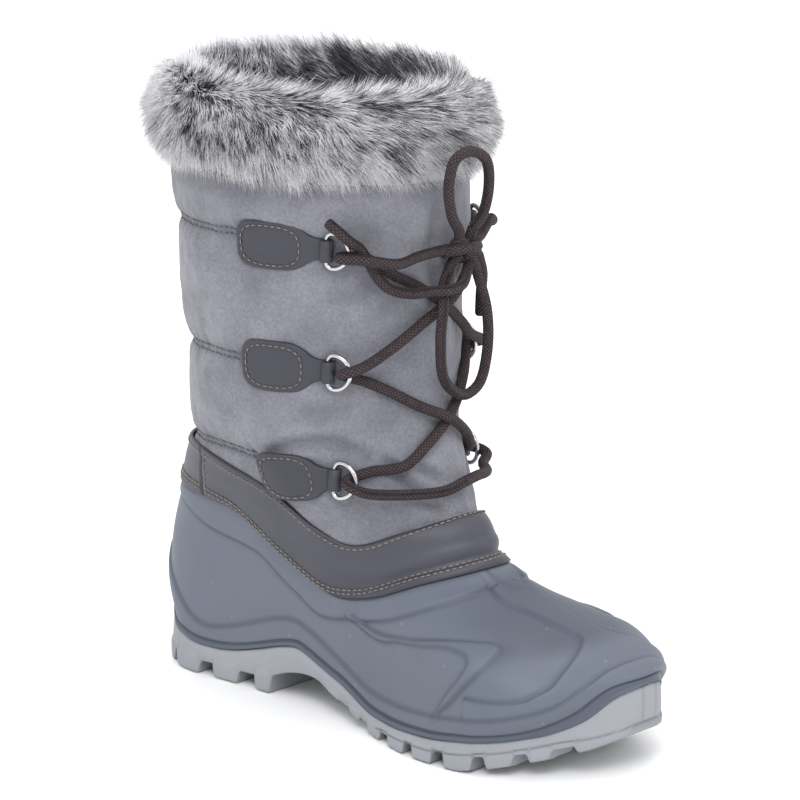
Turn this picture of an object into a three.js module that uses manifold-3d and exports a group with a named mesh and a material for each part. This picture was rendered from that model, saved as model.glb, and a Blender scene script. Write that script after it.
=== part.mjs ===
// Snow boot, right foot. Millimetres: +X to the toe, +Y to the wearer's left, +Z up, floor at Z = 0.
// While building, X = 0 is the back of the heel; the group is centred at the end.

import * as THREE from "three";
import { mergeVertices } from "three/addons/utils/BufferGeometryUtils.js";
import Module from "manifold-3d";

const wasm = await Module();
wasm.setup();

// Driving sizes
const SOLE_LENGTH = 275;
const COLLAR_HEIGHT = 252;
const HEEL_RADIUS = 36;
const TOE_RADIUS = 62;
const RUBBER_WALL = 3;
const SHAFT_WALL = 5;
const LEATHER = 1.7;
const GAP = 0.3;
const LACE_DIAMETER = 5;
const LACE_SIDES = 6;
const RING_WIRE = 1.1;
const RING_RADIUS = 8;
const RING_REACH = 11;
const SHELL_TOP = 1.12;
const ORIGIN_X = 133.65;

// Sole outline seen from above: share of the length, sideways shift, half width
const PLAN = [
  { share: 0, shift: -0.5, half: 35.5 },
  { share: 0.1, shift: 0.5, half: 36 },
  { share: 0.25, shift: 2, half: 35.8 },
  { share: 0.42, shift: 1.2, half: 38 },
  { share: 0.55, shift: 0, half: 45 },
  { share: 0.68, shift: -3.2, half: 52.3 },
  { share: 0.8, shift: -3, half: 51.6 },
  { share: 0.92, shift: 2, half: 43.5 },
  { share: 1, shift: 4.5, half: 36.5 },
];

// Side profile of the sole: lug tips, underside between the lugs, joint with the shell
const SOLE = [
  { x: 0, tip: 4, under: 9.5, joint: 41 },
  { x: 2.5, tip: 2.8, under: 8.6, joint: 36.5 },
  { x: 6, tip: 1.5, under: 7.5, joint: 29.5 },
  { x: 12, tip: 0, under: 7, joint: 21.7 },
  { x: 26, tip: 0, under: 7, joint: 16.7 },
  { x: 45, tip: 0, under: 7, joint: 14.9 },
  { x: 62, tip: 0, under: 7, joint: 17.4 },
  { x: 74, tip: 0, under: 7.6, joint: 20.9 },
  { x: 83, tip: 0, under: 9.6, joint: 23.8 },
  { x: 90, tip: 11, under: 12.4, joint: 25.7 },
  { x: 98, tip: 14, under: 14.6, joint: 26.9 },
  { x: 106, tip: 15.2, under: 15.6, joint: 25 },
  { x: 114, tip: 14.6, under: 15, joint: 22.3 },
  { x: 122, tip: 11.4, under: 11.8, joint: 20 },
  { x: 130, tip: 9, under: 10, joint: 18 },
  { x: 138, tip: 6.6, under: 8.4, joint: 15.4 },
  { x: 144, tip: 4.6, under: 7, joint: 13.2 },
  { x: 152, tip: 2, under: 5.6, joint: 10.7 },
  { x: 165, tip: 0, under: 5, joint: 9.9 },
  { x: 185, tip: 0, under: 6, joint: 10.9 },
  { x: 203, tip: 0, under: 7, joint: 12.4 },
  { x: 213, tip: 0, under: 7.6, joint: 14 },
  { x: 226, tip: 2.5, under: 9, joint: 15.8 },
  { x: 240, tip: 6, under: 11.2, joint: 18.7 },
  { x: 252, tip: 9.8, under: 14, joint: 22.6 },
  { x: 261, tip: 13, under: 17, joint: 28.5 },
  { x: 269, tip: 17.2, under: 20.8, joint: 38 },
  { x: 275, tip: 20.8, under: 24, joint: 42 },
];

// Pairs of edge lugs and, where full is set, one lug right across
const EDGE_LUGS = [
  { from: 2, to: 18 },
  { from: 23, to: 40 },
  { from: 49, to: 64 },
  { from: 72, to: 82, full: true },
  { from: 124, to: 133 },
  { from: 141, to: 149 },
  { from: 155, to: 166 },
  { from: 172, to: 185 },
  { from: 190, to: 203 },
  { from: 209, to: 224 },
  { from: 229, to: 240 },
  { from: 245, to: 253 },
  { from: 258, to: 273, full: true },
];
const MIDDLE_LUGS = [
  { from: 27, to: 39 },
  { from: 49, to: 61 },
  { from: 157, to: 169 },
  { from: 176, to: 188 },
  { from: 195, to: 207 },
  { from: 214, to: 226 },
  { from: 233, to: 244 },
];

// Insole top surface
const FOOTBED = [
  { x: 0, z: 33 },
  { x: 45, z: 30.5 },
  { x: 98, z: 30 },
  { x: 122, z: 25 },
  { x: 144, z: 18.6 },
  { x: 185, z: 18 },
  { x: 226, z: 24.5 },
  { x: 252, z: 31 },
  { x: 275, z: 46 },
];

// Heights along a ring, from its back (share 0) to its front (share 1)
const SHELL_EDGE = [
  { share: 0, z: 88 },
  { share: 0.15, z: 89.3 },
  { share: 0.32, z: 86.6 },
  { share: 0.5, z: 69.3 },
  { share: 0.64, z: 58 },
  { share: 0.74, z: 60 },
  { share: 0.88, z: 70.5 },
  { share: 1, z: 79 },
];
const BAND_EDGE = [
  { share: 0, z: 112.4 },
  { share: 0.15, z: 115.4 },
  { share: 0.35, z: 113 },
  { share: 0.55, z: 104 },
  { share: 0.68, z: 92 },
  { share: 0.78, z: 85.5 },
  { share: 0.9, z: 92.5 },
  { share: 1, z: 99.5 },
];

// Upper rings: level 0 joint with the sole, 1 shell edge, 2 top of the band, 3 collar
const UPPER = [
  { level: 0, back: 0, front: 274, heel: 34.8, mid: 36.6, fore: 51.6, shift: 0, backR: 35, frontR: 61 },
  { level: 0.2, back: -3.6, front: 271, heel: 35.9, mid: 37.6, fore: 51.4, shift: 0, backR: 35, frontR: 60 },
  { level: 0.4, back: -3, front: 262.5, heel: 35.5, mid: 36.6, fore: 49.2, shift: 0.4, backR: 36, frontR: 57 },
  { level: 0.6, back: -1.6, front: 243.5, heel: 35, mid: 34.6, fore: 45.6, shift: 1.6, backR: 38, frontR: 53 },
  { level: 0.8, back: -0.6, front: 210, heel: 34.6, mid: 34.7, fore: 39, shift: 1, backR: 42, frontR: 50 },
  { level: 1, back: 1.5, front: 190, heel: 35, mid: 36.4, fore: 34.6, shift: 0, backR: 46, frontR: 50 },
  { level: 1.5, back: 5.4, front: 181, heel: 39.2, mid: 42.5, fore: 37.5, shift: 0, backR: 56, frontR: 56 },
  { level: 2, back: 9.9, front: 169.5, heel: 46.2, mid: 50, fore: 44.5, shift: 0, backR: 66, frontR: 62 },
  { level: 2.12, back: 11.5, front: 160, heel: 50.5, mid: 54, fore: 50, shift: 0.6, backR: 66, frontR: 62 },
  { level: 2.25, back: 12.3, front: 151, heel: 54, mid: 56.8, fore: 54.5, shift: 1, backR: 66, frontR: 66 },
  { level: 2.55, back: 9.8, front: 148, heel: 57.5, mid: 59.8, fore: 58.3, shift: 1, backR: 67, frontR: 67 },
  { level: 2.8, back: 5.5, front: 149, heel: 61, mid: 62.5, fore: 61, shift: 0.5, backR: 70, frontR: 70 },
  { level: 3, back: 2.5, front: 149.5, heel: 64, mid: 65, fore: 64, shift: 0, backR: 73, frontR: 73 },
];
// Up to FLUSH_LEVEL the shell is drawn out to the sole's edge, and up to FOLLOW_FADE past level 0.2
// the middle of a ring keeps to the sole's own bend
const FLUSH_LEVEL = 0.4;
const FOLLOW_FADE = 0.8;

// Fur roll around the collar
const FUR = { x: 76, z: 273.5, alongR: 66.5, acrossR: 60.5, rollR: 18.5, rollHalfHeight: 23 };

// Lace tabs on each side: height, angle from the front of the ring bar, arc length of one radian,
// how far the back end is lifted to lie on the band, and the pad's length and width shares
const TABS = [
  { name: "top", z: 223, bar: 0.885, pace: 69.5, lift: 0, long: 0.95, wide: 0.8 },
  { name: "middle", z: 166.5, bar: 0.89, pace: 66.8, lift: 0, long: 0.93, wide: 0.92 },
  { name: "low", z: 115.7, bar: 0.93, pace: 60, lift: 3.2, long: 0.76, wide: 0.72 },
];
const TAB_NECK = 5;
const TAB_OUTLINE = [
  { back: 44, half: 5.2 },
  { back: 42.6, half: 9.2 },
  { back: 39, half: 11.8 },
  { back: 30, half: 12.8 },
  { back: 22, half: 12.6 },
  { back: 15, half: 11.4 },
  { back: 11, half: 9.2 },
  { back: 8, half: 6.6 },
  { back: 5, half: 5.4 },
  { back: 1.8, half: 5 },
];
const EYE_OUTER = 3.1;
const EYE_BORE = 1.5;
const RING_TILT = 0.36;

function smooth(rows, at, key, x) {
  const last = rows.length - 1;
  const p = Math.min(Math.max(x, rows[0][at]), rows[last][at]);
  let i = 0;
  while (i < last - 1 && p >= rows[i + 1][at]) {
    i += 1;
  }
  const step = (k) => rows[k + 1][at] - rows[k][at];
  const slope = (k) => (rows[k + 1][key] - rows[k][key]) / step(k);
  const tangent = (k) => {
    if (k === 0) {
      return slope(0);
    }
    if (k === last) {
      return slope(last - 1);
    }
    return (slope(k - 1) * step(k) + slope(k) * step(k - 1)) / (step(k - 1) + step(k));
  };
  const h = step(i);
  const s = (p - rows[i][at]) / h;
  const a = (2 * s ** 3 - 3 * s ** 2 + 1) * rows[i][key] + (s ** 3 - 2 * s ** 2 + s) * h * tangent(i);
  return a + (3 * s ** 2 - 2 * s ** 3) * rows[i + 1][key] + (s ** 3 - s ** 2) * h * tangent(i + 1);
}

function straight(rows, key, x) {
  const last = rows.length - 1;
  const p = Math.min(Math.max(x, rows[0].x), rows[last].x);
  let i = 0;
  while (i < last - 1 && p >= rows[i + 1].x) {
    i += 1;
  }
  const s = (p - rows[i].x) / (rows[i + 1].x - rows[i].x);
  return rows[i][key] * (1 - s) + rows[i + 1][key] * s;
}

function endCap(distance, radius) {
  const k = Math.min(Math.max(distance / radius, 0), 1);
  return Math.sqrt(Math.max(0, 1 - (1 - k) ** 2));
}

function soleEdge(turn, grow) {
  const x = -grow + (SOLE_LENGTH + 2 * grow) * (1 + Math.cos(turn)) / 2;
  const share = x / SOLE_LENGTH;
  const half = smooth(PLAN, "share", "half", share) + grow;
  const round = endCap(x + grow, HEEL_RADIUS + grow) * endCap(SOLE_LENGTH + grow - x, TOE_RADIUS + grow);
  return { x, y: smooth(PLAN, "share", "shift", share) + Math.sign(Math.sin(turn)) * half * round };
}

// Outer surface of the upper: turn 0 at the front, pi at the back, negative on the wearer's right
function upperPoint(turn, level) {
  const of = (key) => smooth(UPPER, "level", key, level);
  const back = of("back");
  const front = of("front");
  const share = (1 + Math.cos(turn)) / 2;
  let x = back + (front - back) * share;
  const half =
    (of("heel") * (share - 0.45) * (share - 0.75)) / (0.33 * 0.63) -
    (of("mid") * (share - 0.12) * (share - 0.75)) / (0.33 * 0.3) +
    (of("fore") * (share - 0.12) * (share - 0.45)) / (0.63 * 0.3);
  const round = endCap(x - back, of("backR")) * endCap(front - x, of("frontR"));
  const follow = Math.min(1, Math.max(0, (1 - level) / FOLLOW_FADE));
  const middle = follow * smooth(PLAN, "share", "shift", x / SOLE_LENGTH) + of("shift") * share ** 2;
  let y = middle + Math.sign(Math.sin(turn)) * half * round;
  if (level < FLUSH_LEVEL) {
    const flush = (1 - level / FLUSH_LEVEL) ** 2;
    const edge = soleEdge(turn, -0.4);
    x += (edge.x - x) * flush;
    y += (edge.y - y) * flush;
  }
  const joint = smooth(SOLE, "x", "joint", x);
  const edge = smooth(SHELL_EDGE, "share", "z", share);
  const band = smooth(BAND_EDGE, "share", "z", share);
  let z = band + (COLLAR_HEIGHT - band) * (level - 2);
  if (level < 2) {
    z = edge + (band - edge) * (level - 1);
  }
  if (level < 1) {
    z = joint + (edge - joint) * level;
  }
  return new THREE.Vector3(x, y, z);
}

function upperNormal(turn, level) {
  const h = 0.004;
  const along = upperPoint(turn + h, level).sub(upperPoint(turn - h, level));
  const low = Math.max(level - h, 0);
  const up = upperPoint(turn, low + 2 * h).sub(upperPoint(turn, low));
  return along.cross(up).normalize();
}

function offUpper(turn, level, out) {
  return upperPoint(turn, level).addScaledVector(upperNormal(turn, level), out);
}

function shaftLevel(turn, z) {
  const band = smooth(BAND_EDGE, "share", "z", (1 + Math.cos(turn)) / 2);
  return 2 + (z - band) / (COLLAR_HEIGHT - band);
}

function onShaft(turn, z, out) {
  return offUpper(turn, shaftLevel(turn, z), out);
}

// Lofted solid through rings of points; open ends get a ladder of triangles, loops close on themselves
function solid(rings, loop = false, apex = true) {
  const n = rings[0].length;
  const faces = [];
  const bands = loop ? rings.length : rings.length - 1;
  for (let r = 0; r < bands; r += 1) {
    const a = r * n;
    const b = ((r + 1) % rings.length) * n;
    for (let j = 0; j < n; j += 1) {
      const k = (j + 1) % n;
      faces.push([a + j, a + k, b + k], [a + j, b + k, b + j]);
    }
  }
  if (!loop) {
    lid(faces, 0, n, apex, true);
    lid(faces, (rings.length - 1) * n, n, apex, false);
  }
  const points = rings.flat();
  let volume = 0;
  for (const [a, b, c] of faces) {
    volume += points[a].dot(points[b].clone().cross(points[c]));
  }
  const index = faces.flatMap(([a, b, c]) => (volume < 0 ? [a, c, b] : [a, b, c]));
  const geometry = new THREE.BufferGeometry();
  geometry.setAttribute("position", new THREE.Float32BufferAttribute(points.flatMap((p) => p.toArray()), 3));
  geometry.setIndex(index);
  return geometry;
}

function lid(faces, start, n, apex, flip) {
  const add = (a, b, c) => {
    faces.push(flip ? [start + a, start + c, start + b] : [start + a, start + b, start + c]);
  };
  let low = 0;
  let high = n - 1;
  if (apex) {
    add(0, 1, high);
    low = 1;
  }
  while (high - low > 2) {
    add(low, low + 1, high - 1);
    add(low, high - 1, high);
    low += 1;
    high -= 1;
  }
  if (high - low === 2) {
    add(low, low + 1, high);
  }
}

function body(geometry) {
  const clean = geometry.clone();
  clean.deleteAttribute("normal");
  clean.deleteAttribute("uv");
  const merged = mergeVertices(clean, 1e-5);
  return new wasm.Manifold(
    new wasm.Mesh({
      numProp: 3,
      vertProperties: new Float32Array(merged.attributes.position.array),
      triVerts: new Uint32Array(merged.index.array),
    }),
  );
}

function skin(manifold) {
  const mesh = manifold.getMesh();
  const geometry = new THREE.BufferGeometry();
  geometry.setAttribute("position", new THREE.Float32BufferAttribute(mesh.vertProperties, 3));
  geometry.setIndex(Array.from(mesh.triVerts));
  return geometry;
}

function span(from, to, count) {
  return Array.from({ length: count + 1 }, (_, i) => from + ((to - from) * i) / count);
}

function ringTurns(count) {
  return span(0, 2 * Math.PI, count).slice(0, -1);
}

const group = new THREE.Group();
group.name = "snow_boot";

function place(name, geometry, look) {
  geometry.computeVertexNormals();
  const piece = new THREE.Mesh(geometry, new THREE.MeshStandardMaterial(look));
  piece.name = name;
  group.add(piece);
}

const RUBBER_GREY = { color: 0x7b818e, roughness: 0.55, metalness: 0 };
const SOLE_GREY = { color: 0xaab0b6, roughness: 0.6, metalness: 0 };
const FELT = { color: 0x6d6e74, roughness: 0.95, metalness: 0 };
const CLOTH_GREY = { color: 0x8e8f98, roughness: 0.85, metalness: 0 };
const LEATHER_GREY = { color: 0x5a5a64, roughness: 0.6, metalness: 0 };
const FUR_GREY = { color: 0x8d8d92, roughness: 1, metalness: 0 };
const STEEL = { color: 0xd8d8da, roughness: 0.2, metalness: 1 };
const CORD_BROWN = { color: 0x3a3233, roughness: 0.85, metalness: 0 };

// Outsole: one moulded rubber sole with its lugs
const soleTurns = [];
for (const row of SOLE) {
  soleTurns.push(Math.acos(Math.min(1, Math.max(-1, (2 * row.x) / SOLE_LENGTH - 1))));
}
soleTurns.reverse();
const allSoleTurns = soleTurns.concat(soleTurns.slice(1, -1).reverse().map((turn) => -turn));

function soleRing(grow, height) {
  return allSoleTurns.map((turn) => {
    const p = soleEdge(turn, grow);
    return new THREE.Vector3(p.x, p.y, height(p.x));
  });
}

const jointLine = (x) => straight(SOLE, "joint", x);
const underLine = (x) => straight(SOLE, "under", x);
const tipLine = (x) => straight(SOLE, "tip", x);
const soleBody = body(
  solid([
    soleRing(0.2, underLine),
    soleRing(1.3, (x) => 0.6 * underLine(x) + 0.4 * jointLine(x)),
    soleRing(0, jointLine),
  ]),
);
const lugSlab = body(solid([soleRing(0.4, tipLine), soleRing(1.2, (x) => underLine(x) + 0.8)]));

function lugBlock(from, to, inner, outer, slant) {
  const shape = new THREE.Shape();
  shape.moveTo(from - slant, inner);
  shape.lineTo(to - slant, inner);
  shape.lineTo(to, outer);
  shape.lineTo(from, outer);
  return body(new THREE.ExtrudeGeometry(shape, { depth: 40, bevelEnabled: false }).translate(0, 0, -2));
}

let outsole = soleBody;
for (const lug of EDGE_LUGS) {
  const share = (lug.from + lug.to) / 2 / SOLE_LENGTH;
  const half = smooth(PLAN, "share", "half", share);
  const shift = smooth(PLAN, "share", "shift", share);
  if (lug.full) {
    outsole = outsole.add(lugSlab.intersect(lugBlock(lug.from, lug.to, -90, 90, 0)));
  } else {
    const inner = 0.44 * half;
    outsole = outsole.add(lugSlab.intersect(lugBlock(lug.from, lug.to, shift + inner, 90, 4)));
    outsole = outsole.add(lugSlab.intersect(lugBlock(lug.from, lug.to, shift - inner, -90, 4)));
  }
}
for (const lug of MIDDLE_LUGS) {
  const share = (lug.from + lug.to) / 2 / SOLE_LENGTH;
  const half = 0.3 * smooth(PLAN, "share", "half", share);
  const shift = smooth(PLAN, "share", "shift", share);
  outsole = outsole.add(lugSlab.intersect(lugBlock(lug.from, lug.to, shift - half, shift + half, 0)));
}
place("outsole", skin(outsole), SOLE_GREY);

// A wide block below a side profile, used to trim pieces to it
function blockUnder(height) {
  const row = (z) => SOLE.map(({ x }) => [x, z(x)]);
  const low = row(() => -60);
  const high = row(height);
  const shape = new THREE.Shape();
  shape.moveTo(-40, -60);
  for (const [x, z] of low.slice(1, -1)) {
    shape.lineTo(x, z);
  }
  shape.lineTo(315, -60);
  shape.lineTo(315, height(SOLE_LENGTH));
  for (const [x, z] of high.reverse()) {
    shape.lineTo(x, z);
  }
  shape.lineTo(-40, height(0));
  const block = new THREE.ExtrudeGeometry(shape, { depth: 240, bevelEnabled: false });
  return body(block.rotateX(Math.PI / 2).translate(0, 120, 0));
}

// Rubber shell: hollow foot part, open below onto the sole and above into the shaft
const SHELL_AROUND = 40;
const shellTurns = ringTurns(SHELL_AROUND);
const shellLevels = [0, 0.15, 0.3, 0.45, 0.6, 0.8, 1, SHELL_TOP];
const skirt = (turn, out) => {
  const p = offUpper(turn, 0, out);
  p.z -= 6;
  return p;
};
const shellBlank = solid(
  [
    shellTurns.map((turn) => skirt(turn, 0)),
    ...shellLevels.map((level) => shellTurns.map((turn) => offUpper(turn, level, 0))),
    ...[SHELL_TOP, 0.8, 0.55, 0.35, 0.16, 0].map((level) =>
      shellTurns.map((turn) => offUpper(turn, level, -RUBBER_WALL)),
    ),
    shellTurns.map((turn) => skirt(turn, -RUBBER_WALL)),
  ],
  true,
);
place("shell", skin(body(shellBlank).subtract(blockUnder((x) => jointLine(x) + GAP))), RUBBER_GREY);

// Insole: felt footbed lying on the sole inside the shell
const insoleRing = (z) =>
  shellTurns.map((turn) => {
    const p = upperPoint(turn, 0);
    const out = upperNormal(turn, 0).setZ(0).normalize();
    return p.addScaledVector(out, -RUBBER_WALL - 3.2).setZ(z);
  });
const insole = body(solid([insoleRing(-5), insoleRing(70)]))
  .intersect(blockUnder((x) => straight(FOOTBED, "z", x)))
  .subtract(blockUnder((x) => jointLine(x) + GAP));
place("insole", skin(insole), FELT);

// Shaft: padded cloth tube from the shell up to the collar
const SHAFT_START = SHELL_TOP + 0.016;
const shaftOuter = [SHAFT_START, 1.4, 1.7, 2, 2.1, 2.2, 2.32, 2.55, 2.8, 3];
const shaftInner = [3, 2.7, 2.4, 2.2, 2.02, 1.6, SHAFT_START];
const shaftPoint = (turn, level, out) => {
  const p = offUpper(turn, level, out);
  return level === 3 ? p.setZ(COLLAR_HEIGHT) : p;
};
const shaft = solid(
  [
    ...shaftOuter.map((level) => shellTurns.map((turn) => shaftPoint(turn, level, 0))),
    ...shaftInner.map((level) => shellTurns.map((turn) => shaftPoint(turn, level, -SHAFT_WALL))),
  ],
  true,
);
place("shaft", shaft, CLOTH_GREY);

// Leather band over the joint of shell and shaft, in a front and a back length
const BAND_SEAM = (14 / SHELL_AROUND) * 2 * Math.PI;
const BAND_LEVELS = [1, SHELL_TOP, 1.4, 1.7, 2];
const BAND_GAP = 0.7;
const bandSection = (turn) => [
  ...BAND_LEVELS.map((level) => offUpper(turn, level, BAND_GAP + LEATHER)),
  ...BAND_LEVELS.toReversed().map((level) => offUpper(turn, level, BAND_GAP)),
];
const frontTurns = shellTurns
  .map((turn) => (turn > Math.PI ? turn - 2 * Math.PI : turn))
  .filter((turn) => Math.abs(turn) < BAND_SEAM - 0.05)
  .sort((a, b) => a - b);
const backTurns = shellTurns.filter((turn) => Math.abs(turn - Math.PI) < Math.PI - BAND_SEAM - 0.05);
const SEAM_GAP = 0.005;
const frontStations = [-BAND_SEAM, ...frontTurns, BAND_SEAM];
const backStations = [BAND_SEAM + SEAM_GAP, ...backTurns, 2 * Math.PI - BAND_SEAM - SEAM_GAP];
place("band_front", solid(frontStations.map(bandSection), false, false), LEATHER_GREY);
place("band_back", solid(backStations.map(bandSection), false, false), LEATHER_GREY);

// Fur collar: a thick roll whose underside is slotted over the top of the shaft
const furTurns = ringTurns(36);
const furRing = (around) =>
  furTurns.map((turn) => {
    const reach = FUR.rollR * Math.cos(around);
    return new THREE.Vector3(
      FUR.x + (FUR.alongR + reach) * Math.cos(turn),
      (FUR.acrossR + reach) * Math.sin(turn),
      FUR.z + FUR.rollHalfHeight * Math.sin(around),
    );
  });
const slotRing = (level, out) =>
  shellTurns.map((turn) => {
    const p = shaftPoint(turn, level, out);
    return level === 3 ? p.setZ(COLLAR_HEIGHT + GAP) : p;
  });
const SLOT_FOOT = 2.84;
const collarSlot = solid(
  [slotRing(SLOT_FOOT, 0.4), slotRing(3, 0.4), slotRing(3, -5.4), slotRing(SLOT_FOOT, -5.4)],
  true,
);
const furRoll = solid(ringTurns(10).map(furRing), true);
place("collar_fur", skin(body(furRoll).subtract(body(collarSlot))), FUR_GREY);

// Leather tabs with a folded eye, and the wire rings they hold
function tabFrame(side, tab) {
  const turn = side * tab.bar;
  const level = shaftLevel(turn, tab.z);
  const out = upperNormal(turn, level);
  const ahead = onShaft(turn - side * 0.02, tab.z, 0).sub(upperPoint(turn, level));
  ahead.addScaledVector(out, -ahead.dot(out)).normalize();
  const up = out.clone().cross(ahead);
  up.multiplyScalar(Math.sign(up.z));
  return { origin: offUpper(turn, level, GAP + EYE_OUTER), out, ahead, up };
}

function inFrame(frame, ahead, up, out) {
  return frame.origin
    .clone()
    .addScaledVector(frame.ahead, ahead)
    .addScaledVector(frame.up, up)
    .addScaledVector(frame.out, out);
}

function tabSolid(side, tab) {
  const pad = solid(
    TAB_OUTLINE.map((place) => {
      const back = place.back * tab.long;
      const half = TAB_NECK + (place.half - TAB_NECK) * tab.wide;
      const turn = side * (tab.bar + back / tab.pace);
      const under = GAP + tab.lift * Math.min(Math.max((back - 6) / 14, 0), 1);
      const row = (out, sign) => [1, 0, -1].map((k) => onShaft(turn, tab.z + sign * k * half, out));
      return [...row(under + 2, 1), ...row(under, -1)];
    }),
    false,
    false,
  );
  const frame = tabFrame(side, tab);
  const circle = (radius, up) =>
    ringTurns(8).map((a) => inFrame(frame, radius * Math.cos(a), up, radius * Math.sin(a)));
  const eye = solid(
    [circle(EYE_OUTER, -5), circle(EYE_OUTER, 5), circle(EYE_BORE, 5), circle(EYE_BORE, -5)],
    true,
  );
  return skin(body(pad).add(body(eye)));
}

// Ring centre line: a straight bar, two short cheeks and a half circle
function ringLine() {
  const line = new THREE.Path();
  line.moveTo(0, -RING_RADIUS + 1);
  line.lineTo(0, RING_RADIUS - 1);
  line.quadraticCurveTo(0, RING_RADIUS, 1, RING_RADIUS);
  line.lineTo(RING_REACH - RING_RADIUS, RING_RADIUS);
  line.absarc(RING_REACH - RING_RADIUS, 0, RING_RADIUS, Math.PI / 2, -Math.PI / 2, true);
  line.lineTo(1, -RING_RADIUS);
  line.quadraticCurveTo(0, -RING_RADIUS, 0, -RING_RADIUS + 1);
  return line;
}

function ringSolid(side, tab) {
  const frame = tabFrame(side, tab);
  const line = ringLine();
  const at = (p, lift) =>
    inFrame(frame, p.x * Math.cos(RING_TILT) - lift * Math.sin(RING_TILT), p.y,
      p.x * Math.sin(RING_TILT) + lift * Math.cos(RING_TILT));
  const count = 18;
  const rings = [];
  for (let i = 0; i < count; i += 1) {
    const p = line.getPointAt(i / count);
    const q = line.getTangentAt(i / count);
    rings.push(
      ringTurns(5).map((a) => {
        const wide = RING_WIRE * Math.cos(a);
        return at(new THREE.Vector2(p.x + q.y * wide, p.y - q.x * wide), RING_WIRE * Math.sin(a));
      }),
    );
  }
  return solid(rings, true);
}

for (const [side, word] of [[-1, "outer"], [1, "inner"]]) {
  for (const tab of TABS) {
    place(`tab_${word}_${tab.name}`, tabSolid(side, tab), LEATHER_GREY);
    place(`ring_${word}_${tab.name}`, ringSolid(side, tab), STEEL);
  }
}

// Cord swept through a row of points, with frames carried along the curve
function cordSolid(points, steps) {
  const curve = new THREE.CatmullRomCurve3(points, false, "centripetal");
  const at = span(0, 1, steps).map((u) => curve.getPoint(u));
  let across = new THREE.Vector3(0.3, 0.2, 1);
  const rings = at.map((p, i) => {
    const along = at[Math.min(i + 1, steps)].clone().sub(at[Math.max(i - 1, 0)]).normalize();
    across = across.clone().addScaledVector(along, -across.dot(along)).normalize();
    const other = along.clone().cross(across);
    return ringTurns(LACE_SIDES).map((a) =>
      p
        .clone()
        .addScaledVector(across, (LACE_DIAMETER / 2) * Math.cos(a))
        .addScaledVector(other, (LACE_DIAMETER / 2) * Math.sin(a)),
    );
  });
  return solid(rings);
}

// Lace through one ring: round the wire from one face to the other, drifting up or down
function throughRing(side, tab, overFirst, upperFirst, spread = 1, drop = 0, rise = 0.75) {
  const frame = tabFrame(side, tab);
  const wireOut = RING_REACH * Math.sin(RING_TILT);
  const wireAhead = RING_REACH * Math.cos(RING_TILT);
  const turn = LACE_DIAMETER / 2 + RING_WIRE + 0.7;
  const drift = upperFirst ? 1 : -1;
  const rows = [
    { around: 1, ahead: 6.5, up: 4.6, pull: rise, sink: 1.8 },
    { around: 1, ahead: 0.6, up: 2.6, pull: 1, sink: 0 },
    { around: 0.7, ahead: -2.9, up: 1.3, pull: 1, sink: 0 },
    { around: 0, ahead: -4.3, up: 0, pull: 1, sink: 0 },
    { around: -0.7, ahead: -2.9, up: -1.3, pull: 1, sink: 0 },
    { around: -1, ahead: 0.6, up: -2.6, pull: 1, sink: 0 },
    { around: -1, ahead: 6.5, up: -4.6, pull: 0.9, sink: 1.8 },
  ];
  const sign = overFirst ? 1 : -1;
  return rows.map(({ around, ahead, up, pull, sink }) => {
    const out = Math.max((wireOut + sign * around * turn) * pull, -0.4) - sink;
    return inFrame(frame, wireAhead + ahead, drift * spread * up - drop, out);
  });
}

// Lace lying on the shaft between two ring crossings
function overShaft(rows) {
  return rows.map(({ turn, z, out }) => onShaft(turn, z, out));
}

const [TOP, MIDDLE, LOW] = TABS;
const UNDER = LACE_DIAMETER / 2 + 0.8;
const OVER = LACE_DIAMETER + 2.6;
const laceUpperHalf = [
  new THREE.Vector3(155.5, -9.2, 221.5),
  ...overShaft([
    { turn: -0.3, z: 220.5, out: 8 },
    { turn: -0.48, z: 219.6, out: 15 },
  ]),
  ...throughRing(-1, TOP, true, true, 0.2, 2.1, 1.4),
  ...overShaft([
    { turn: -0.46, z: 212, out: UNDER },
    { turn: -0.25, z: 205, out: UNDER },
    { turn: 0, z: 195.5, out: UNDER },
    { turn: 0.3, z: 183.5, out: UNDER },
    { turn: 0.5, z: 175.5, out: 5 },
  ]),
  ...throughRing(1, MIDDLE, true, true),
  ...overShaft([
    { turn: 0.46, z: 157, out: UNDER },
    { turn: 0.22, z: 147, out: 3.8 },
    { turn: 0, z: 138.5, out: 4 },
    { turn: -0.25, z: 129.5, out: UNDER },
    { turn: -0.46, z: 122, out: UNDER },
  ]),
  ...throughRing(-1, LOW, false, true),
  ...overShaft([
    { turn: -0.42, z: 109.5, out: 7 },
    { turn: -0.2, z: 110, out: 5 },
    { turn: 0, z: 112, out: 5.5 },
  ]),
];
const laceLowerHalf = [
  ...overShaft([
    { turn: -0.02, z: 111.8, out: 5.5 },
    { turn: 0.2, z: 112.5, out: 6 },
    { turn: 0.42, z: 111.5, out: 8 },
  ]),
  ...throughRing(1, LOW, true, false),
  ...overShaft([
    { turn: 0.46, z: 124, out: UNDER },
    { turn: 0.25, z: 132, out: 5 },
    { turn: 0, z: 140.5, out: OVER },
    { turn: -0.25, z: 149, out: 5 },
    { turn: -0.46, z: 156.5, out: UNDER },
  ]),
  ...throughRing(-1, MIDDLE, false, false),
  ...overShaft([
    { turn: -0.46, z: 178, out: 5.5 },
    { turn: -0.22, z: 188.5, out: 5.5 },
    { turn: 0, z: 198, out: OVER },
    { turn: 0.25, z: 206, out: 5 },
    { turn: 0.46, z: 213, out: UNDER },
  ]),
  ...throughRing(1, TOP, false, false),
  ...overShaft([
    { turn: 0.48, z: 222, out: 7 },
    { turn: 0.36, z: 221.5, out: 6 },
  ]),
];
const crossings = body(cordSolid(laceUpperHalf, 60)).add(body(cordSolid(laceLowerHalf, 56)));
place("lace_crossings", skin(crossings), CORD_BROWN);

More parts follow.
